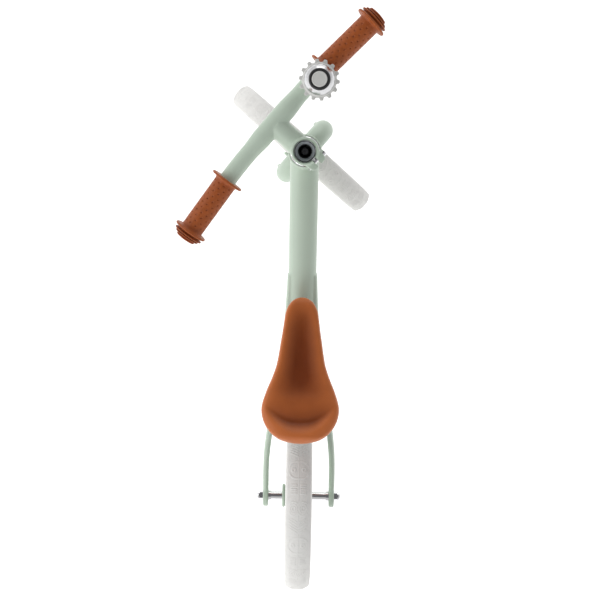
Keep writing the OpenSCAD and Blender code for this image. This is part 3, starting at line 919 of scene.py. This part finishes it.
@dataclass
class Wheel:
    """A foam-tyred wheel with a moulded rim, spokes and hub."""

    name: str
    place: Matrix
    radius: float = 142.0
    crown: float = 34.0
    width: float = 39.0
    inner: float = 104.0
    rim_width: float = 30.0
    rim_depth: float = 9.0
    spokes: int = 10
    spoke_steps: int = 24
    hub: float = 16.0
    hub_left: float = 21.5
    hub_right: float = 19.5
    bore: float = 11.0
    steps: int = 1000
    tread: Tread = field(default_factory=Tread)

    def tyre_outline(self) -> list[Point]:
        """Section of the tyre as (radius, across)."""
        half = self.width / 2
        shoulder, steps = 16.0, 48
        crown = []
        for k in range(steps + 1):
            y = -shoulder + 2 * shoulder * k / steps
            crown.append((self.radius - self.tread.height - self.crown + math.sqrt(self.crown**2 - y * y), y))
        side = crown[-1][0] - 5.0
        foot = self.inner
        right = [
            (foot + 0.1, -half + 5, 0), (foot + 0.1, -half + 2.5, 1), (foot + 3, -half + 1.4, 1),
            (foot + 5, -half + 0.9, 0.6), (foot + 6, -half + 1.3, 0.6), (foot + 8, -half + 0.5, 1),
            (side - 12, -half, 3), (side - 4, -half + 0.1, 5), (side + 3.4, -half + 1.4, 3),
        ]
        low = rounded(right, loop=False, steps=3)
        high = [(r, -y) for r, y in reversed(low)]
        return subdivided(low + crown + high, 3.0)

    def tyre(self) -> None:
        """Build the tyre, with its tread raised out of its skin."""
        outline = self.tyre_outline()
        girth = FULL_TURN * self.radius
        limit = self.radius - 8
        ways = []
        count = len(outline)
        for i in range(count):
            (r0, y0), (r1, y1) = outline[i - 1], outline[(i + 1) % count]
            way = Vector((y1 - y0, r0 - r1))
            ways.append(way.normalized() if outline[i][0] > limit and way.length > 0 else Vector((0, 0)))
        rings = []
        for k in range(self.steps):
            angle = FULL_TURN * k / self.steps
            along = girth * k / self.steps
            ring = []
            for (r, y), way in zip(outline, ways):
                rise = self.tread.rise(along, y, girth) if way.length > 0 else 0.0
                out = r + way.x * rise
                ring.append(Vector((out * math.cos(angle), y + way.y * rise, out * math.sin(angle))))
            rings.append(ring)
        mesh = bmesh.new()
        skin(mesh, rings, joined=True)
        self.piece("tyre_skin", "tyre", mesh, Look.FOAM, 60)

    def piece(self, name: str, node: str, mesh: BMesh, look: Look, sharp: float) -> None:
        """Make one piece of the wheel out of its mesh, in place of one CAD node."""
        body, stands_for = f"{self.name}_wheel", (f"{self.name}_{node}",)
        new_piece(f"{self.name}_{name}", mesh, self.place, look, body, stands_for, sharp)

    def spoke(self, mesh: BMesh, angle: float) -> None:
        """Draw one spoke, flared where it meets the hub and the rim."""
        hub, rim = self.hub, self.inner - self.rim_depth
        table = [
            (hub - 2, 6.6, 10.5), (hub + 4, 4.6, 8.6), (hub + 14, 3.9, 7.6), (rim - 22, 3.7, 7.0),
            (rim - 8, 4.4, 8.0), (rim - 1, 6.2, 10.5), (rim + 2, 8.0, 12.5),
        ]
        rings = []
        for reach, wide, deep in table:
            points = []
            for k in range(self.spoke_steps):
                t = FULL_TURN * k / self.spoke_steps
                across = squarish(math.cos(t), 0.6) * wide
                along = squarish(math.sin(t), 0.6) * deep
                points.append(turned(-math.degrees(angle), "Y") @ Vector((reach, along, across)))
            rings.append(points)
        skin(mesh, rings)

    def rim(self) -> None:
        """Build the rim, spokes and hub as one moulding."""
        mesh = bmesh.new()
        axle = turned(-90, "X")
        outer, half, low = self.inner - 0.05, self.rim_width / 2, self.inner - self.rim_depth
        spin(mesh, rounded([
            (outer, -half, 0.6), (outer - 3, -half, 1.2), (outer - 4.2, -half + 1.6, 1.2),
            (low, -half + 5, 3), (low + 0.8, 0, 6), (low, half - 5, 3),
            (outer - 4.2, half - 1.6, 1.2), (outer - 3, half, 1.2), (outer, half, 0.6),
        ]), axle, 160)
        bore_r, hub, left, right = self.bore, self.hub, self.hub_left, self.hub_right
        spin(mesh, rounded([
            (bore_r, -right, 0.6), (hub - 1.5, -right, 1.5), (hub, -right + 5, 2), (hub - 1, 0, 4),
            (hub, right - 5, 2), (hub, left, 0.8), (bore_r, left, 0.6), (bore_r, right - 8, 0.3),
            (bore_r - 2, right - 8, 0.3),
            (bore_r - 2, 8 - right, 0.3), (bore_r, 8 - right, 0.3),
        ]), axle)
        for k in range(self.spokes):
            self.spoke(mesh, FULL_TURN * k / self.spokes)
        self.piece("rim_moulding", "rim", mesh, Look.MOULDED, 35)

    def cap(self) -> None:
        """Build the thin hub cap on the wheel's left face."""
        mesh = bmesh.new()
        low, high = self.hub_left + 0.02, self.hub_left + 4
        spin(mesh, rounded([
            (8.5, low, 0.3), (18, low, 0.5), (18, high - 0.6, 0.9), (16.6, high, 0.6), (13.6, high, 0.4),
            (13.2, high - 0.7, 0.3), (11.4, high - 0.7, 0.3), (11, high, 0.4), (8.5, high, 0.7),
        ]), turned(-90, "X"))
        self.piece("hub_disc", "hub_cap", mesh, Look.MOULDED, 35)

    def build(self) -> None:
        """Build the whole wheel."""
        self.tyre()
        self.rim()
        self.cap()


# ---- frame ----


@dataclass
class MainFrame:
    """Welded frame: main tube, head tube, seat tube and the two rear stays."""

    tube_radius: float = 20.5
    head_radius: float = 23.2
    head_bore: float = 20.9
    head_low: float = 195.0
    head_high: float = 308.0
    seat_radius: float = 15.9
    seat_bore: float = 12.76
    seat_low: float = -42.0
    seat_high: float = 40.0
    tail: float = 174.0
    stay_start: float = 400.0
    stay_skip: float = 40.0
    stay_thick: float = 9.0
    stay_deep: float = 24.0
    stay_bends: tuple[float, float] = (1400.0, 500.0)
    stay_angle: float = 10.5
    stay_tail: float = 16.0
    stay_steps: int = 36
    rear_width: float = 112.0
    eye: float = 17.0

    def stay_line(self, x: float) -> float:
        """Distance of a stay's centre line from the middle plane, at a distance ahead of the axle."""
        first, second = self.stay_bends
        slope = math.radians(self.stay_angle)
        near = self.tube_radius - self.stay_thick / 2 + 0.5
        far = self.rear_width / 2 - self.stay_thick / 2
        run = (far - near - (first + second) * (1 - math.cos(slope))) / math.sin(slope)
        x1 = self.stay_start - first * math.sin(slope)
        x2 = x1 - run * math.cos(slope)
        x3 = x2 - second * math.sin(slope)
        if x > x1:
            return near + first - math.sqrt(first**2 - (self.stay_start - x) ** 2)
        if x > x2:
            return near + first * (1 - math.cos(slope)) + (x1 - x) * math.tan(slope)
        if x > x3:
            return far - second + math.sqrt(second**2 - (x - x3) ** 2)
        return far

    def stay(self, mesh: BMesh, side: int) -> None:
        """Draw one flat-oval stay with its dropout eye."""
        tip = self.stay_start - self.stay_skip
        deep = self.stay_deep / 2
        rings = []
        for x in (tip * k / 40 for k in range(41)):
            y = side * self.stay_line(x)
            thick = self.stay_thick / 2 + 0.4 * ease((x - 40) / 60)
            if x < self.stay_tail:
                thick = (self.stay_thick - 1) / 2
            ring = []
            for k in range(self.stay_steps):
                t = FULL_TURN * k / self.stay_steps
                over = squarish(math.cos(t), 0.75) * thick
                up = squarish(math.sin(t), 0.75) * deep
                ring.append(LAYOUT.main_line() @ Vector((x, y + over, up)))
            rings.append(ring)
        skin(mesh, rings)
        eye_y = side * self.stay_line(0)
        half = (self.stay_thick - 1) / 2
        place = LAYOUT.main_line() @ Matrix.Translation((0, eye_y, 0)) @ turned(90, "X")
        barrel(mesh, self.eye, -half, half, place, 1)

    def build(self) -> None:
        """Build the frame as one welded piece."""
        mesh = bmesh.new()
        line = LAYOUT.main_line() @ turned(90, "Y")
        length = LAYOUT.main_length()
        spin(mesh, rounded([
            (0, self.tail, 0), (14, self.tail, 3), (self.tube_radius, self.tail + 8, 4),
            (self.tube_radius, length, 0), (0, length, 0),
        ], loop=False), line, loop=False)
        barrel(mesh, self.head_radius, self.head_low, self.head_high, LAYOUT.head(), 1.0, 96)
        barrel(mesh, self.seat_radius, self.seat_low, self.seat_high, LAYOUT.seat(), 0.8, 72)
        for side in (1, -1):
            self.stay(mesh, side)
        cuts = [
            bore(self.head_bore, self.head_low - 5, self.head_high + 5, LAYOUT.head()),
            bore(self.seat_bore, self.seat_low - 5, self.seat_high + 5, LAYOUT.seat()),
        ]
        piece = welded("frame_weldment", to_metres(mesh), 1.3 * MM, 6, cuts)
        nodes = ("main_tube", "head_tube", "seat_tube", "left_stay", "right_stay")
        finish_piece(piece, Look.PAINT, "frame", nodes, 38)


# ---- fork ----


@dataclass
class Fork:
    """Bent-tube fork with flat dropouts, and what fills the top of its steerer."""

    tube_radius: float = 15.6
    leg_y: float = 42.0
    bend: float = 26.0
    crown: float = 168.0
    boss_radius: float = 18.0
    boss_top: float = 192.0
    leg_low: float = 46.0
    leg_tip: float = 20.0
    tip_radius: float = 9.5
    drop_y: float = 46.0
    drop_thick: float = 6.0
    drop_radius: float = 13.0
    drop_wide: float = 18.0
    steerer_radius: float = 14.25
    steerer_wall: float = 1.7
    steerer_top: float = 418.0
    head_top: float = 308.0

    def path(self) -> list[tuple[Vector, Vector, float]]:
        """Stations of the tube, up the left leg, over the crown and down the right."""
        half = self.leg_y - self.bend
        high = self.crown - self.bend
        up = [
            (Vector((0, self.leg_y, self.leg_tip)), Vector((0, 0, 1)), self.tip_radius - 1.5),
            (Vector((0, self.leg_y, self.leg_tip + 2)), Vector((0, 0, 1)), self.tip_radius),
        ]
        for k in range(1, 9):
            z = self.leg_tip + (self.leg_low - self.leg_tip) * k / 8
            radius = self.tip_radius + (self.tube_radius - self.tip_radius) * math.sin(k / 8 * math.pi / 2)
            up.append((Vector((0, self.leg_y, z)), Vector((0, 0, 1)), radius))
        for k in range(17):
            t = math.pi / 2 * k / 16
            spot = Vector((0, half + self.bend * math.cos(t), high + self.bend * math.sin(t)))
            up.append((spot, Vector((0, -math.sin(t), math.cos(t))), self.tube_radius))
        down = [(Vector((p.x, -p.y, p.z)), Vector((0, d.y, -d.z)), r) for p, d, r in reversed(up)]
        return up + down

    def build(self) -> None:
        """Build the fork and the plug in its steerer."""
        mesh = bmesh.new()
        tube(mesh, self.path(), Vector((1, 0, 0)), 64)
        barrel(mesh, self.boss_radius, self.crown - 8, self.boss_top, UPRIGHT, 1, 72)
        centre = LAYOUT.rake
        for side in (1, -1):
            start, half = side * self.drop_y, self.drop_thick / 2
            low_x, high_x = centre / 2 - self.drop_wide / 2, centre / 2 + self.drop_wide / 2
            outline = [(high_x, self.leg_low), (low_x, self.leg_low)]
            outline += [
                (centre + self.drop_radius * math.cos(t), self.drop_radius * math.sin(t))
                for t in (math.radians(a) for a in range(170, 375, 12))
            ]
            place = Matrix.Translation((0, start, 0)) @ turned(90, "X")
            solid(mesh, outline, -half, half, place, 0.6)
        bmesh.ops.transform(mesh, matrix=LAYOUT.steering(), verts=mesh.verts)
        piece = welded("fork_weldment", to_metres(mesh), 1.1 * MM, 6, [])
        finish_piece(piece, Look.PAINT, "fork", ("fork_crown", "left_fork_leg", "right_fork_leg"), 38)
        turning = Turning(LAYOUT.steering(), "fork")
        self.steerer(turning)
        self.plug(turning)
        self.cover(turning)

    def steerer(self, turning: Turning) -> None:
        """Build the steel steerer tube, its rim polished inwards."""
        outer, inner = self.steerer_radius, self.steerer_radius - self.steerer_wall
        low, high = self.boss_top - 34, self.steerer_top
        turning.piece("steerer_sleeve", ("steerer",), Look.POLISHED, rounded([
            (inner, low, 0.2), (outer, low, 0.4), (outer, high - 0.5, 0.5), (outer - 0.5, high, 0.3),
            (outer - 0.9, high, 0.3), (inner - 0.25, high - 2.6, 0.5), (inner - 0.1, high - 4.2, 0.3),
            (inner, high - 4.4, 0.2),
        ]), 128)

    def plug(self, turning: Turning) -> None:
        """Build the cast cone in the top of the steerer and the dark core inside it."""
        outer = self.steerer_radius - self.steerer_wall - 0.3
        high = self.steerer_top - 3
        turning.piece("steerer_cone", ("top_plug",), Look.CAST, rounded([
            (8.9, high - 20, 0.3), (outer, high - 20, 0.8), (outer, high - 0.3, 0.4),
            (outer - 0.5, high + 0.2, 0.3), (10.4, high - 2.6, 2.0), (9.0, high - 5.6, 1.0),
            (8.9, high - 7, 0.3),
        ]), 128)
        turning.piece("steerer_cone_core", (), Look.DARK_STEEL, rounded([
            (2.6, high - 20, 0.3), (8.85, high - 20, 0.3), (8.85, high - 6.6, 0.5), (8.2, high - 6.2, 0.5),
            (6.2, high - 9.4, 1.5), (5.2, high - 12.2, 0.8), (2.6, high - 12.4, 0.3),
        ]))

    def cover(self, turning: Turning) -> None:
        """Build the polished ring that closes the top of the head tube."""
        low, inner = self.head_top - 1, self.steerer_radius + 0.02
        turning.piece("headset_ring", ("headset_cover",), Look.CHROME, rounded([
            (inner, low, 0.2), (20.3, low, 0.3), (20.4, low + 1.4, 0.8), (19.4, low + 2.6, 1.2),
            (17.2, low + 3.4, 1.0), (inner, low + 3.6, 0.3),
        ]), 128, 40)


# ---- handlebar ----


@dataclass
class Handlebar:
    """Clamp sleeve and bent bar welded together, with a grip on each end."""

    sleeve: float = 17.5
    sleeve_low: float = 365.0
    sleeve_high: float = 428.0
    bore: float = 14.31
    seat: float = 14.8
    seat_deep: float = 9.0
    reach_radius: float = 13.6
    ear_back: float = 25.5
    ear_half: float = 11.5
    ear_low: float = 374.0
    ear_high: float = 421.0
    slot: float = 5.5
    middle: float = 12.7
    middle_half: float = 25.0
    end: float = 11.1
    end_length: float = 76.5
    end_break: float = 0.8
    grip_radius: float = 14.3
    pits: int = 11
    pit_rows: int = 11
    pit_first: float = 4.0
    pit_pitch: float = 6.2
    pit_depth: float = 1.1
    pit_radius: float = 0.7

    def bar_path(self) -> list[tuple[Vector, Vector, float]]:
        """Stations along the bar from its right end to its left."""
        taper, bent = LAYOUT.bar_taper_end, LAYOUT.bend_end()
        most = bent + self.end_length - 0.2
        places = [self.middle_half, taper, *(taper + (bent - taper) * k / 8 for k in range(1, 9))]
        places += [bent + 30, most - self.end_break, most]
        stations = [-p for p in reversed(places)] + [0.0] + places
        path = []
        for out in stations:
            spot, angle = LAYOUT.bar_point(out)
            share = min(1.0, max(0.0, (abs(out) - self.middle_half) / (taper - self.middle_half)))
            radius = self.middle + (self.end - self.middle) * share
            if abs(out) == most:
                radius -= self.end_break
            path.append((spot, Vector((-math.sin(angle), math.cos(angle), 0)), radius))
        return path

    def bar(self) -> None:
        """Build the sleeve, its ears, the arm and the bar as one welded piece."""
        mesh = bmesh.new()
        barrel(mesh, self.sleeve, self.sleeve_low, self.sleeve_high, UPRIGHT, 1.4, 96)
        tube(mesh, self.bar_path(), Vector((0, 0, 1)), 64)
        arm = Matrix.Translation((0, 0, LAYOUT.bar_rise)) @ turned(90, "Y")
        reach = LAYOUT.bar_reach
        thick = self.reach_radius
        spin(mesh, [
            (0, 4), (thick + 1.2, 4), (thick + 1.0, self.sleeve), (thick, self.sleeve + 5),
            (thick - 0.2, reach - 4), (0, reach - 3),
        ], arm, 72, loop=False)
        for side in (1, -1):
            outline = rounded([
                (-4, side * (self.slot / 2 - 1), 0), (-4, side * (self.ear_half + 2.5), 2),
                (-self.ear_back, side * self.ear_half, 6), (-self.ear_back, side * (self.slot / 2 - 1), 0.5),
            ])
            solid(mesh, outline, self.ear_low, self.ear_high, UPRIGHT, 2.0)
        bmesh.ops.transform(mesh, matrix=LAYOUT.steering(), verts=mesh.verts)
        floor = self.sleeve_high - self.seat_deep
        slot = bmesh.new()
        half, back = self.slot / 2, -self.ear_back - 5
        outline = [(back, -half), (-6, -half), (-6, half), (back, half)]
        solid(slot, outline, self.sleeve_low - 6, self.sleeve_high + 6, LAYOUT.steering())
        cuts = [
            bore(self.bore, self.sleeve_low - 5, floor, LAYOUT.steering()),
            bore(self.seat, floor - 0.01, self.sleeve_high + 5, LAYOUT.steering()),
            to_metres(slot),
        ]
        piece = welded("handlebar_weldment", to_metres(mesh), 0.9 * MM, 7, cuts)
        finish_piece(piece, Look.PAINT, "handlebar_unit", ("stem", "handlebar"), 38)

    def grip_outline(self) -> list[Point]:
        """Section of a grip as (radius, distance along the bar's straight end)."""
        barrel_r, flange, core, inner = self.grip_radius, 21.8, 11.6, self.end + 0.05
        lip = flange - 0.6
        return subdivided(rounded([
            (0, 76.4, 0), (inner, 76.4, 0.2), (inner, -4.5, 0.3), (lip, -4.5, 1.3), (flange, -3, 1.2),
            (lip, -1.5, 1.3), (barrel_r + 1.2, -1.2, 1.2), (barrel_r, 1, 1.5), (barrel_r, 72.5, 1.5),
            (barrel_r + 1.2, 74.3, 1.4), (lip, 74.5, 1.3), (flange, 76, 1.2), (lip, 77.5, 1.3),
            (core + 5, 77.9, 0.6), (core + 4, 80.5, 0.4), (19.2, 80.6, 0.7), (19.4, 81.5, 0.6),
            (19.0, 82.2, 0.7), (core, 82.5, 0.5), (core, 83.4, 0.4), (16.4, 83.5, 0.6), (16.6, 84.3, 0.5),
            (16.2, 85.1, 0.6), (core, 85.4, 0.4), (core, 86.4, 0.4),
            (12.9, 86.5, 0.5), (13, 87.3, 0.5), (12.6, 88.2, 0.6), (9.5, 89, 1.5),
            (4.5, 89, 0.5), (3.6, 88.4, 0.6), (0, 88.3, 0),
        ], loop=False, steps=3), 0.62)

    def pit(self, angle: float, height: float) -> float:
        """Depth of the grip's pits at a spot of its barrel.

        Args:
            angle: Angle round the grip, in radians.
            height: Distance along the bar's straight end.

        Returns:
            The depth, in millimetres.
        """
        near = round((height - self.pit_first) / self.pit_pitch)
        if not 0 <= near <= self.pit_rows - 1:
            return 0.0
        shift = 0.5 * (near % 2)
        turn = angle / FULL_TURN * self.pits + shift
        across = (turn - round(turn)) * FULL_TURN / self.pits * self.grip_radius
        away = math.hypot(across, height - self.pit_first - near * self.pit_pitch)
        return self.pit_depth * (1 - ease((away - self.pit_radius) / self.pit_radius))

    def grip(self, side: int, name: str) -> None:
        """Build one grip with its pits, flanges and end ribs."""
        columns, rings = 168, []
        for radius, height in self.grip_outline():
            on_barrel = abs(radius - self.grip_radius) < 0.05 and 2 < height < 71.5
            ring = []
            for k in range(columns):
                angle = FULL_TURN * k / columns
                out = radius - (self.pit(angle, height) if on_barrel else 0.0)
                ring.append(Vector((out * math.cos(angle), out * math.sin(angle), height)))
            rings.append(ring)
        mesh = bmesh.new()
        skin(mesh, rings)
        new_piece(f"{name}_sleeve", mesh, LAYOUT.grip(side), Look.GRIP, "handlebar_unit", (name,), 50)

    def build(self) -> None:
        """Build the bar and both grips."""
        self.bar()
        self.grip(1, "left_grip")
        self.grip(-1, "right_grip")


# ---- bell ----


@dataclass
class Bell:
    """Twist bell: a toothed ring under a polished cone with a button on top."""

    teeth: int = 14
    radius: float = 25.0
    root: float = 21.4
    ring_low: float = 23.3
    ring_high: float = 28.3
    bevel_high: float = 31.3
    dome_low: float = 31.6
    dome_high: float = 40.1
    tooth: tuple[tuple[float, float, float], ...] = (
        (-0.3, 0, 1.2), (-0.17, 1, 1.3), (0, 1.0, 0), (0.17, 1, 1.3), (0.3, 0, 1.2),
    )

    def toothed_outline(self) -> list[Point]:
        """Outline of the toothed ring, with its corners rounded."""
        step = FULL_TURN / self.teeth
        corners = []
        for i in range(self.teeth):
            for share, height, size in self.tooth:
                t = (i + 0.5 + share) * step
                r = self.root + height * (self.radius - self.root)
                corners.append((r * math.cos(t), r * math.sin(t), size))
        return rounded(corners, steps=4)

    def build(self) -> None:
        """Build the ring, cone, collar and button."""
        place = LAYOUT.bell()
        mesh = bmesh.new()
        low, high, top = self.ring_high, self.bevel_high, self.dome_high
        solid(mesh, self.toothed_outline(), self.ring_low, low, UPRIGHT, 0.7)
        spin(mesh, rounded([
            (17, low - 2, 0.2), (20.6, low - 1, 0), (20.6, low + 0.6, 0.5), (19.2, high, 0.8),
            (17.4, high, 0.5), (17, high - 1.5, 0.3),
        ]))
        new_piece("bell_toothed_ring", mesh, place, Look.PALE, "bell_twist", ("bell_ring",), 32)
        turning = Turning(place, "handlebar_unit")
        foot = self.dome_low
        outer = [(18.3, foot + 0.2), (18.35, foot + 1.0)]
        outer += [(18.2 - 5.4 * (k / 10) ** 1.15, foot + 1.3 + 7.1 * (k / 10) ** 0.9) for k in range(11)]
        inner = [(r - 1.1, z - 0.9) for r, z in reversed(outer)]
        turning.piece("bell_cone", ("bell_dome",), Look.SATIN, outer + inner, 128, 40)
        turning.piece("bell_black_collar", ("bell_collar",), Look.BLACK, rounded([
            (9.5, top - 1, 0.2), (13.2, top - 1, 0.3), (13.4, top + 0.5, 0.9), (11.4, top + 1.6, 1.0),
            (9.5, top + 1.1, 0.4),
        ]))
        turning.piece("bell_button", ("bell_cap",), Look.PALE, rounded([
            (0, top - 1, 0), (9.4, top - 1, 0.3), (9.4, top + 1.6, 0.8), (8.7, top + 2.4, 0.7),
            (8.1, top + 2.4, 0.5), (7.6, top + 2.1, 0.5), (0, top + 2.4, 0),
        ], loop=False), loop=False)


# ---- saddle ----


@dataclass
class Saddle:
    """Padded saddle with a narrow nose, a long valley and a raised rear lip."""

    rear: float = 77.0
    length: float = 207.0
    base: float = 174.0
    middle: float = 187.0
    outline: tuple[Point, ...] = (
        (0, 0), (0.027, 28.5), (0.068, 40.5), (0.109, 47.2), (0.150, 51.4), (0.19, 53.7), (0.231, 54.4),
        (0.272, 53.2), (0.354, 47.8), (0.435, 41.0), (0.517, 35.2), (0.599, 31.8), (0.680, 29.4),
        (0.762, 26.8), (0.844, 24.6), (0.905, 22.3), (0.959, 16.6), (0.986, 10), (1, 0),
    )
    top_line: tuple[Point, ...] = (
        (0, 205.4), (0.045, 207.7), (0.09, 207.0), (0.15, 205.6), (0.3, 205.4), (0.5, 204.6), (0.7, 203.6),
        (0.88, 202.6), (1, 200.0),
    )
    dish_line: tuple[Point, ...] = (
        (0, 0), (0.06, 0.0), (0.09, 2.0), (0.135, 7.4), (0.175, 5.6), (0.23, 4.2), (0.29, 4.6), (0.36, 7.4),
        (0.45, 9.2), (0.7, 8.4), (0.85, 6.2), (0.94, 2.4), (0.985, 0), (1, 0),
    )
    deepest: float = 8.5
    end_merge: float = 0.02

    def half_width(self, share: float) -> float:
        """Half of the saddle's width at a share of its length from the rear."""
        squares = [(s, w * w) for s, w in self.outline]
        return math.sqrt(max(spline(squares, share), 0.0))

    def dish(self, share: float, across: float) -> float:
        """Depth of the dished seat.

        Args:
            share: Share of the length from the rear.
            across: Distance from the middle as a share of the half width there.

        Returns:
            The depth, in millimetres.
        """
        rear = 1 - ease((share - 0.2) / 0.22)
        bent = share - 0.17 * min(across, 0.9) ** 2.4 * rear
        reach = min(across / 0.94, 1.0)
        fall = (1 - reach**2) ** 1.25 * (1 - rear) + (1 - reach**4) ** 1.4 * rear
        return spline(list(self.dish_line), max(bent, 0.0)) * fall

    def ring(self, share: float) -> list[Vector]:
        """Section of the cushion at a share of its length from the rear."""
        wide = max(self.half_width(share), 0.01)
        rear_end, nose_end = min(share / 0.05, 1.0), min((1 - share) / 0.075, 1.0)
        tip = math.sqrt(max(0.0, 1 - (1 - rear_end) ** 2)) * math.sqrt(max(0.0, 1 - (1 - nose_end) ** 2))
        tip = max(tip, 0.001)
        top = spline(list(self.top_line), share)
        up, down = (top - self.middle) * tip, (self.middle - self.base) * tip
        points = []
        count = 88
        for k in range(count):
            t = FULL_TURN * k / count
            c, s = math.cos(t), math.sin(t)
            high = s >= 0
            power = 0.55 if high else 0.45
            y = squarish(c, power) * wide
            z = self.middle + squarish(s, power) * (up if high else down)
            if high:
                z -= self.dish(share, abs(y) / wide) * tip
            points.append(Vector((self.rear + share * self.length, y, z)))
        return points

    def build(self) -> None:
        """Build the cushion."""
        stations = [(1 - math.cos(math.pi * k / 130)) / 2 for k in range(131)]
        mesh = bmesh.new()
        skin(mesh, [self.ring(share) for share in stations])
        bmesh.ops.remove_doubles(mesh, verts=mesh.verts, dist=self.end_merge)
        # Depth of the dish at each point, which darkens the cover: partly a darker tone, partly painted
        # shade.
        hollow_tone_and_shade = mesh.verts.layers.float.new("hollow_tone_and_shade")
        for vert in mesh.verts:
            share = (vert.co.x - self.rear) / self.length
            wide = max(self.half_width(share), 1.0)
            deep = self.dish(share, min(abs(vert.co.y) / wide, 1.0)) if vert.co.z > self.middle else 0.0
            vert[hollow_tone_and_shade] = min(1.0, deep / self.deepest)
        piece = new_piece("saddle_cushion", mesh, UPRIGHT, Look.COVER, "saddle", ("saddle_pad",), 70)


# ---- studio ----


AIM = (0.3, 0, 0)


@dataclass
class Studio:
    """Pale floor, soft lights and the camera above the bike."""

    eye: tuple[float, float, float] = (0.054, 0.003, 1.526)
    tilt: float = 9.6
    roll: float = -1.02
    lens: float = 57.0
    sensor: float = 36.0
    floor_size: float = 8.0

    def camera(self) -> None:
        """Hang the camera over the bike."""
        data = bpy.data.cameras.new("camera")
        data.lens, data.sensor_width, data.clip_end = self.lens, self.sensor, 50
        camera = placed("camera", data)
        tilt = math.radians(self.tilt)
        look = Vector((math.sin(tilt), 0, -math.cos(tilt)))
        up = Matrix.Rotation(math.radians(self.roll), 3, look) @ Vector((math.cos(tilt), 0, math.sin(tilt)))
        right = look.cross(up)
        turn = Matrix((right, up, -look)).transposed().to_4x4()
        camera.matrix_world = Matrix.Translation(self.eye) @ turn
        bpy.context.scene.camera = camera

    def floor(self) -> None:
        """Lay the floor."""
        mesh = bmesh.new()
        bmesh.ops.create_grid(mesh, x_segments=8, y_segments=8, size=self.floor_size / 2)
        bmesh.ops.translate(mesh, verts=mesh.verts, vec=(AIM[0], 0, LAYOUT.floor * MM))
        data = bpy.data.meshes.new("studio_floor")
        mesh.to_mesh(data)
        mesh.free()
        floor = placed("studio_floor", data)
        graph = Graph("studio_paper")
        surface = graph.surface.inputs
        paper = graph.shades(graph.cloud(90), (0.55, 0.55, 0.55), (0.57, 0.57, 0.57))
        graph.join(paper, surface["Base Color"])
        surface["Roughness"].default_value = 0.9
        surface["Specular IOR Level"].default_value = 0.1
        surface["Emission Color"].default_value = (1, 1, 1, 1)
        surface["Emission Strength"].default_value = 0.88
        data.materials.append(graph.material)

    def light(self, name: str, place: tuple[float, float, float], size: float, power: float) -> None:
        """Hang one soft lamp that points at the bike."""
        data = bpy.data.lights.new(name, "AREA")
        data.shape, data.size, data.energy = "SQUARE", size, power
        lamp = placed(name, data)
        lamp.location = place
        lamp.rotation_euler = (Vector(AIM) - Vector(place)).to_track_quat("-Z", "Y").to_euler()

    def build(self) -> None:
        """Set up the camera, floor, lights and background."""
        self.camera()
        self.floor()
        self.light("left_lamp", (0.1, 2.2, 1.3), 1.6, 15)
        self.light("rear_lamp", (-1.9, 0.9, 1.2), 1.2, 12)
        self.light("front_lamp", (2.4, -0.2, 1.2), 1.4, 10)
        self.air()
        view = bpy.context.scene.view_settings
        view.view_transform, view.look = "Standard", "None"
        LOG.info("studio ready")

    def air(self) -> None:
        """Fill the room with light, white below, grey overhead and strongest towards the left front."""
        world = bpy.data.worlds.new("studio_air")
        world.use_nodes = True
        nodes, join = world.node_tree.nodes, world.node_tree.links.new
        place = nodes.new("ShaderNodeTexCoord").outputs["Generated"]
        split = nodes.new("ShaderNodeSeparateXYZ")
        ramp = nodes.new("ShaderNodeValToRGB")
        stops = ramp.color_ramp.elements
        low, high = stops
        low.position, low.color = 0.1, (1, 1, 1, 1)
        high.position, high.color = 0.9, (0.2, 0.2, 0.21, 1)
        stops.new(0.76).color = (0.92, 0.92, 0.92, 1)
        toward = nodes.new("ShaderNodeVectorMath")
        toward.operation = "DOT_PRODUCT"
        toward.inputs[1].default_value = (0.5, 0.87, 0)
        strength = nodes.new("ShaderNodeMapRange")
        strength.inputs["From Min"].default_value = -1
        strength.inputs["To Min"].default_value, strength.inputs["To Max"].default_value = 0.6, 0.86
        background = nodes["Background"].inputs
        for source, target in (
            (place, split.inputs[0]), (split.outputs["Z"], ramp.inputs["Fac"]),
            (ramp.outputs["Color"], background["Color"]), (place, toward.inputs[0]),
            (toward.outputs["Value"], strength.inputs["Value"]),
            (strength.outputs["Result"], background["Strength"]),
        ):
            join(source, target)
        bpy.context.scene.world = world


def main() -> None:
    """Build the whole bike and its studio, in order."""
    logging.basicConfig(level=logging.INFO, format="%(message)s")
    Studio().build()
    dress_carried()
    MainFrame().build()
    Wheel("rear", UPRIGHT).build()
    Fork().build()
    Wheel("front", LAYOUT.front_axle()).build()
    Handlebar().build()
    Bell().build()
    Saddle().build()


if __name__ == "__main__":
    main()
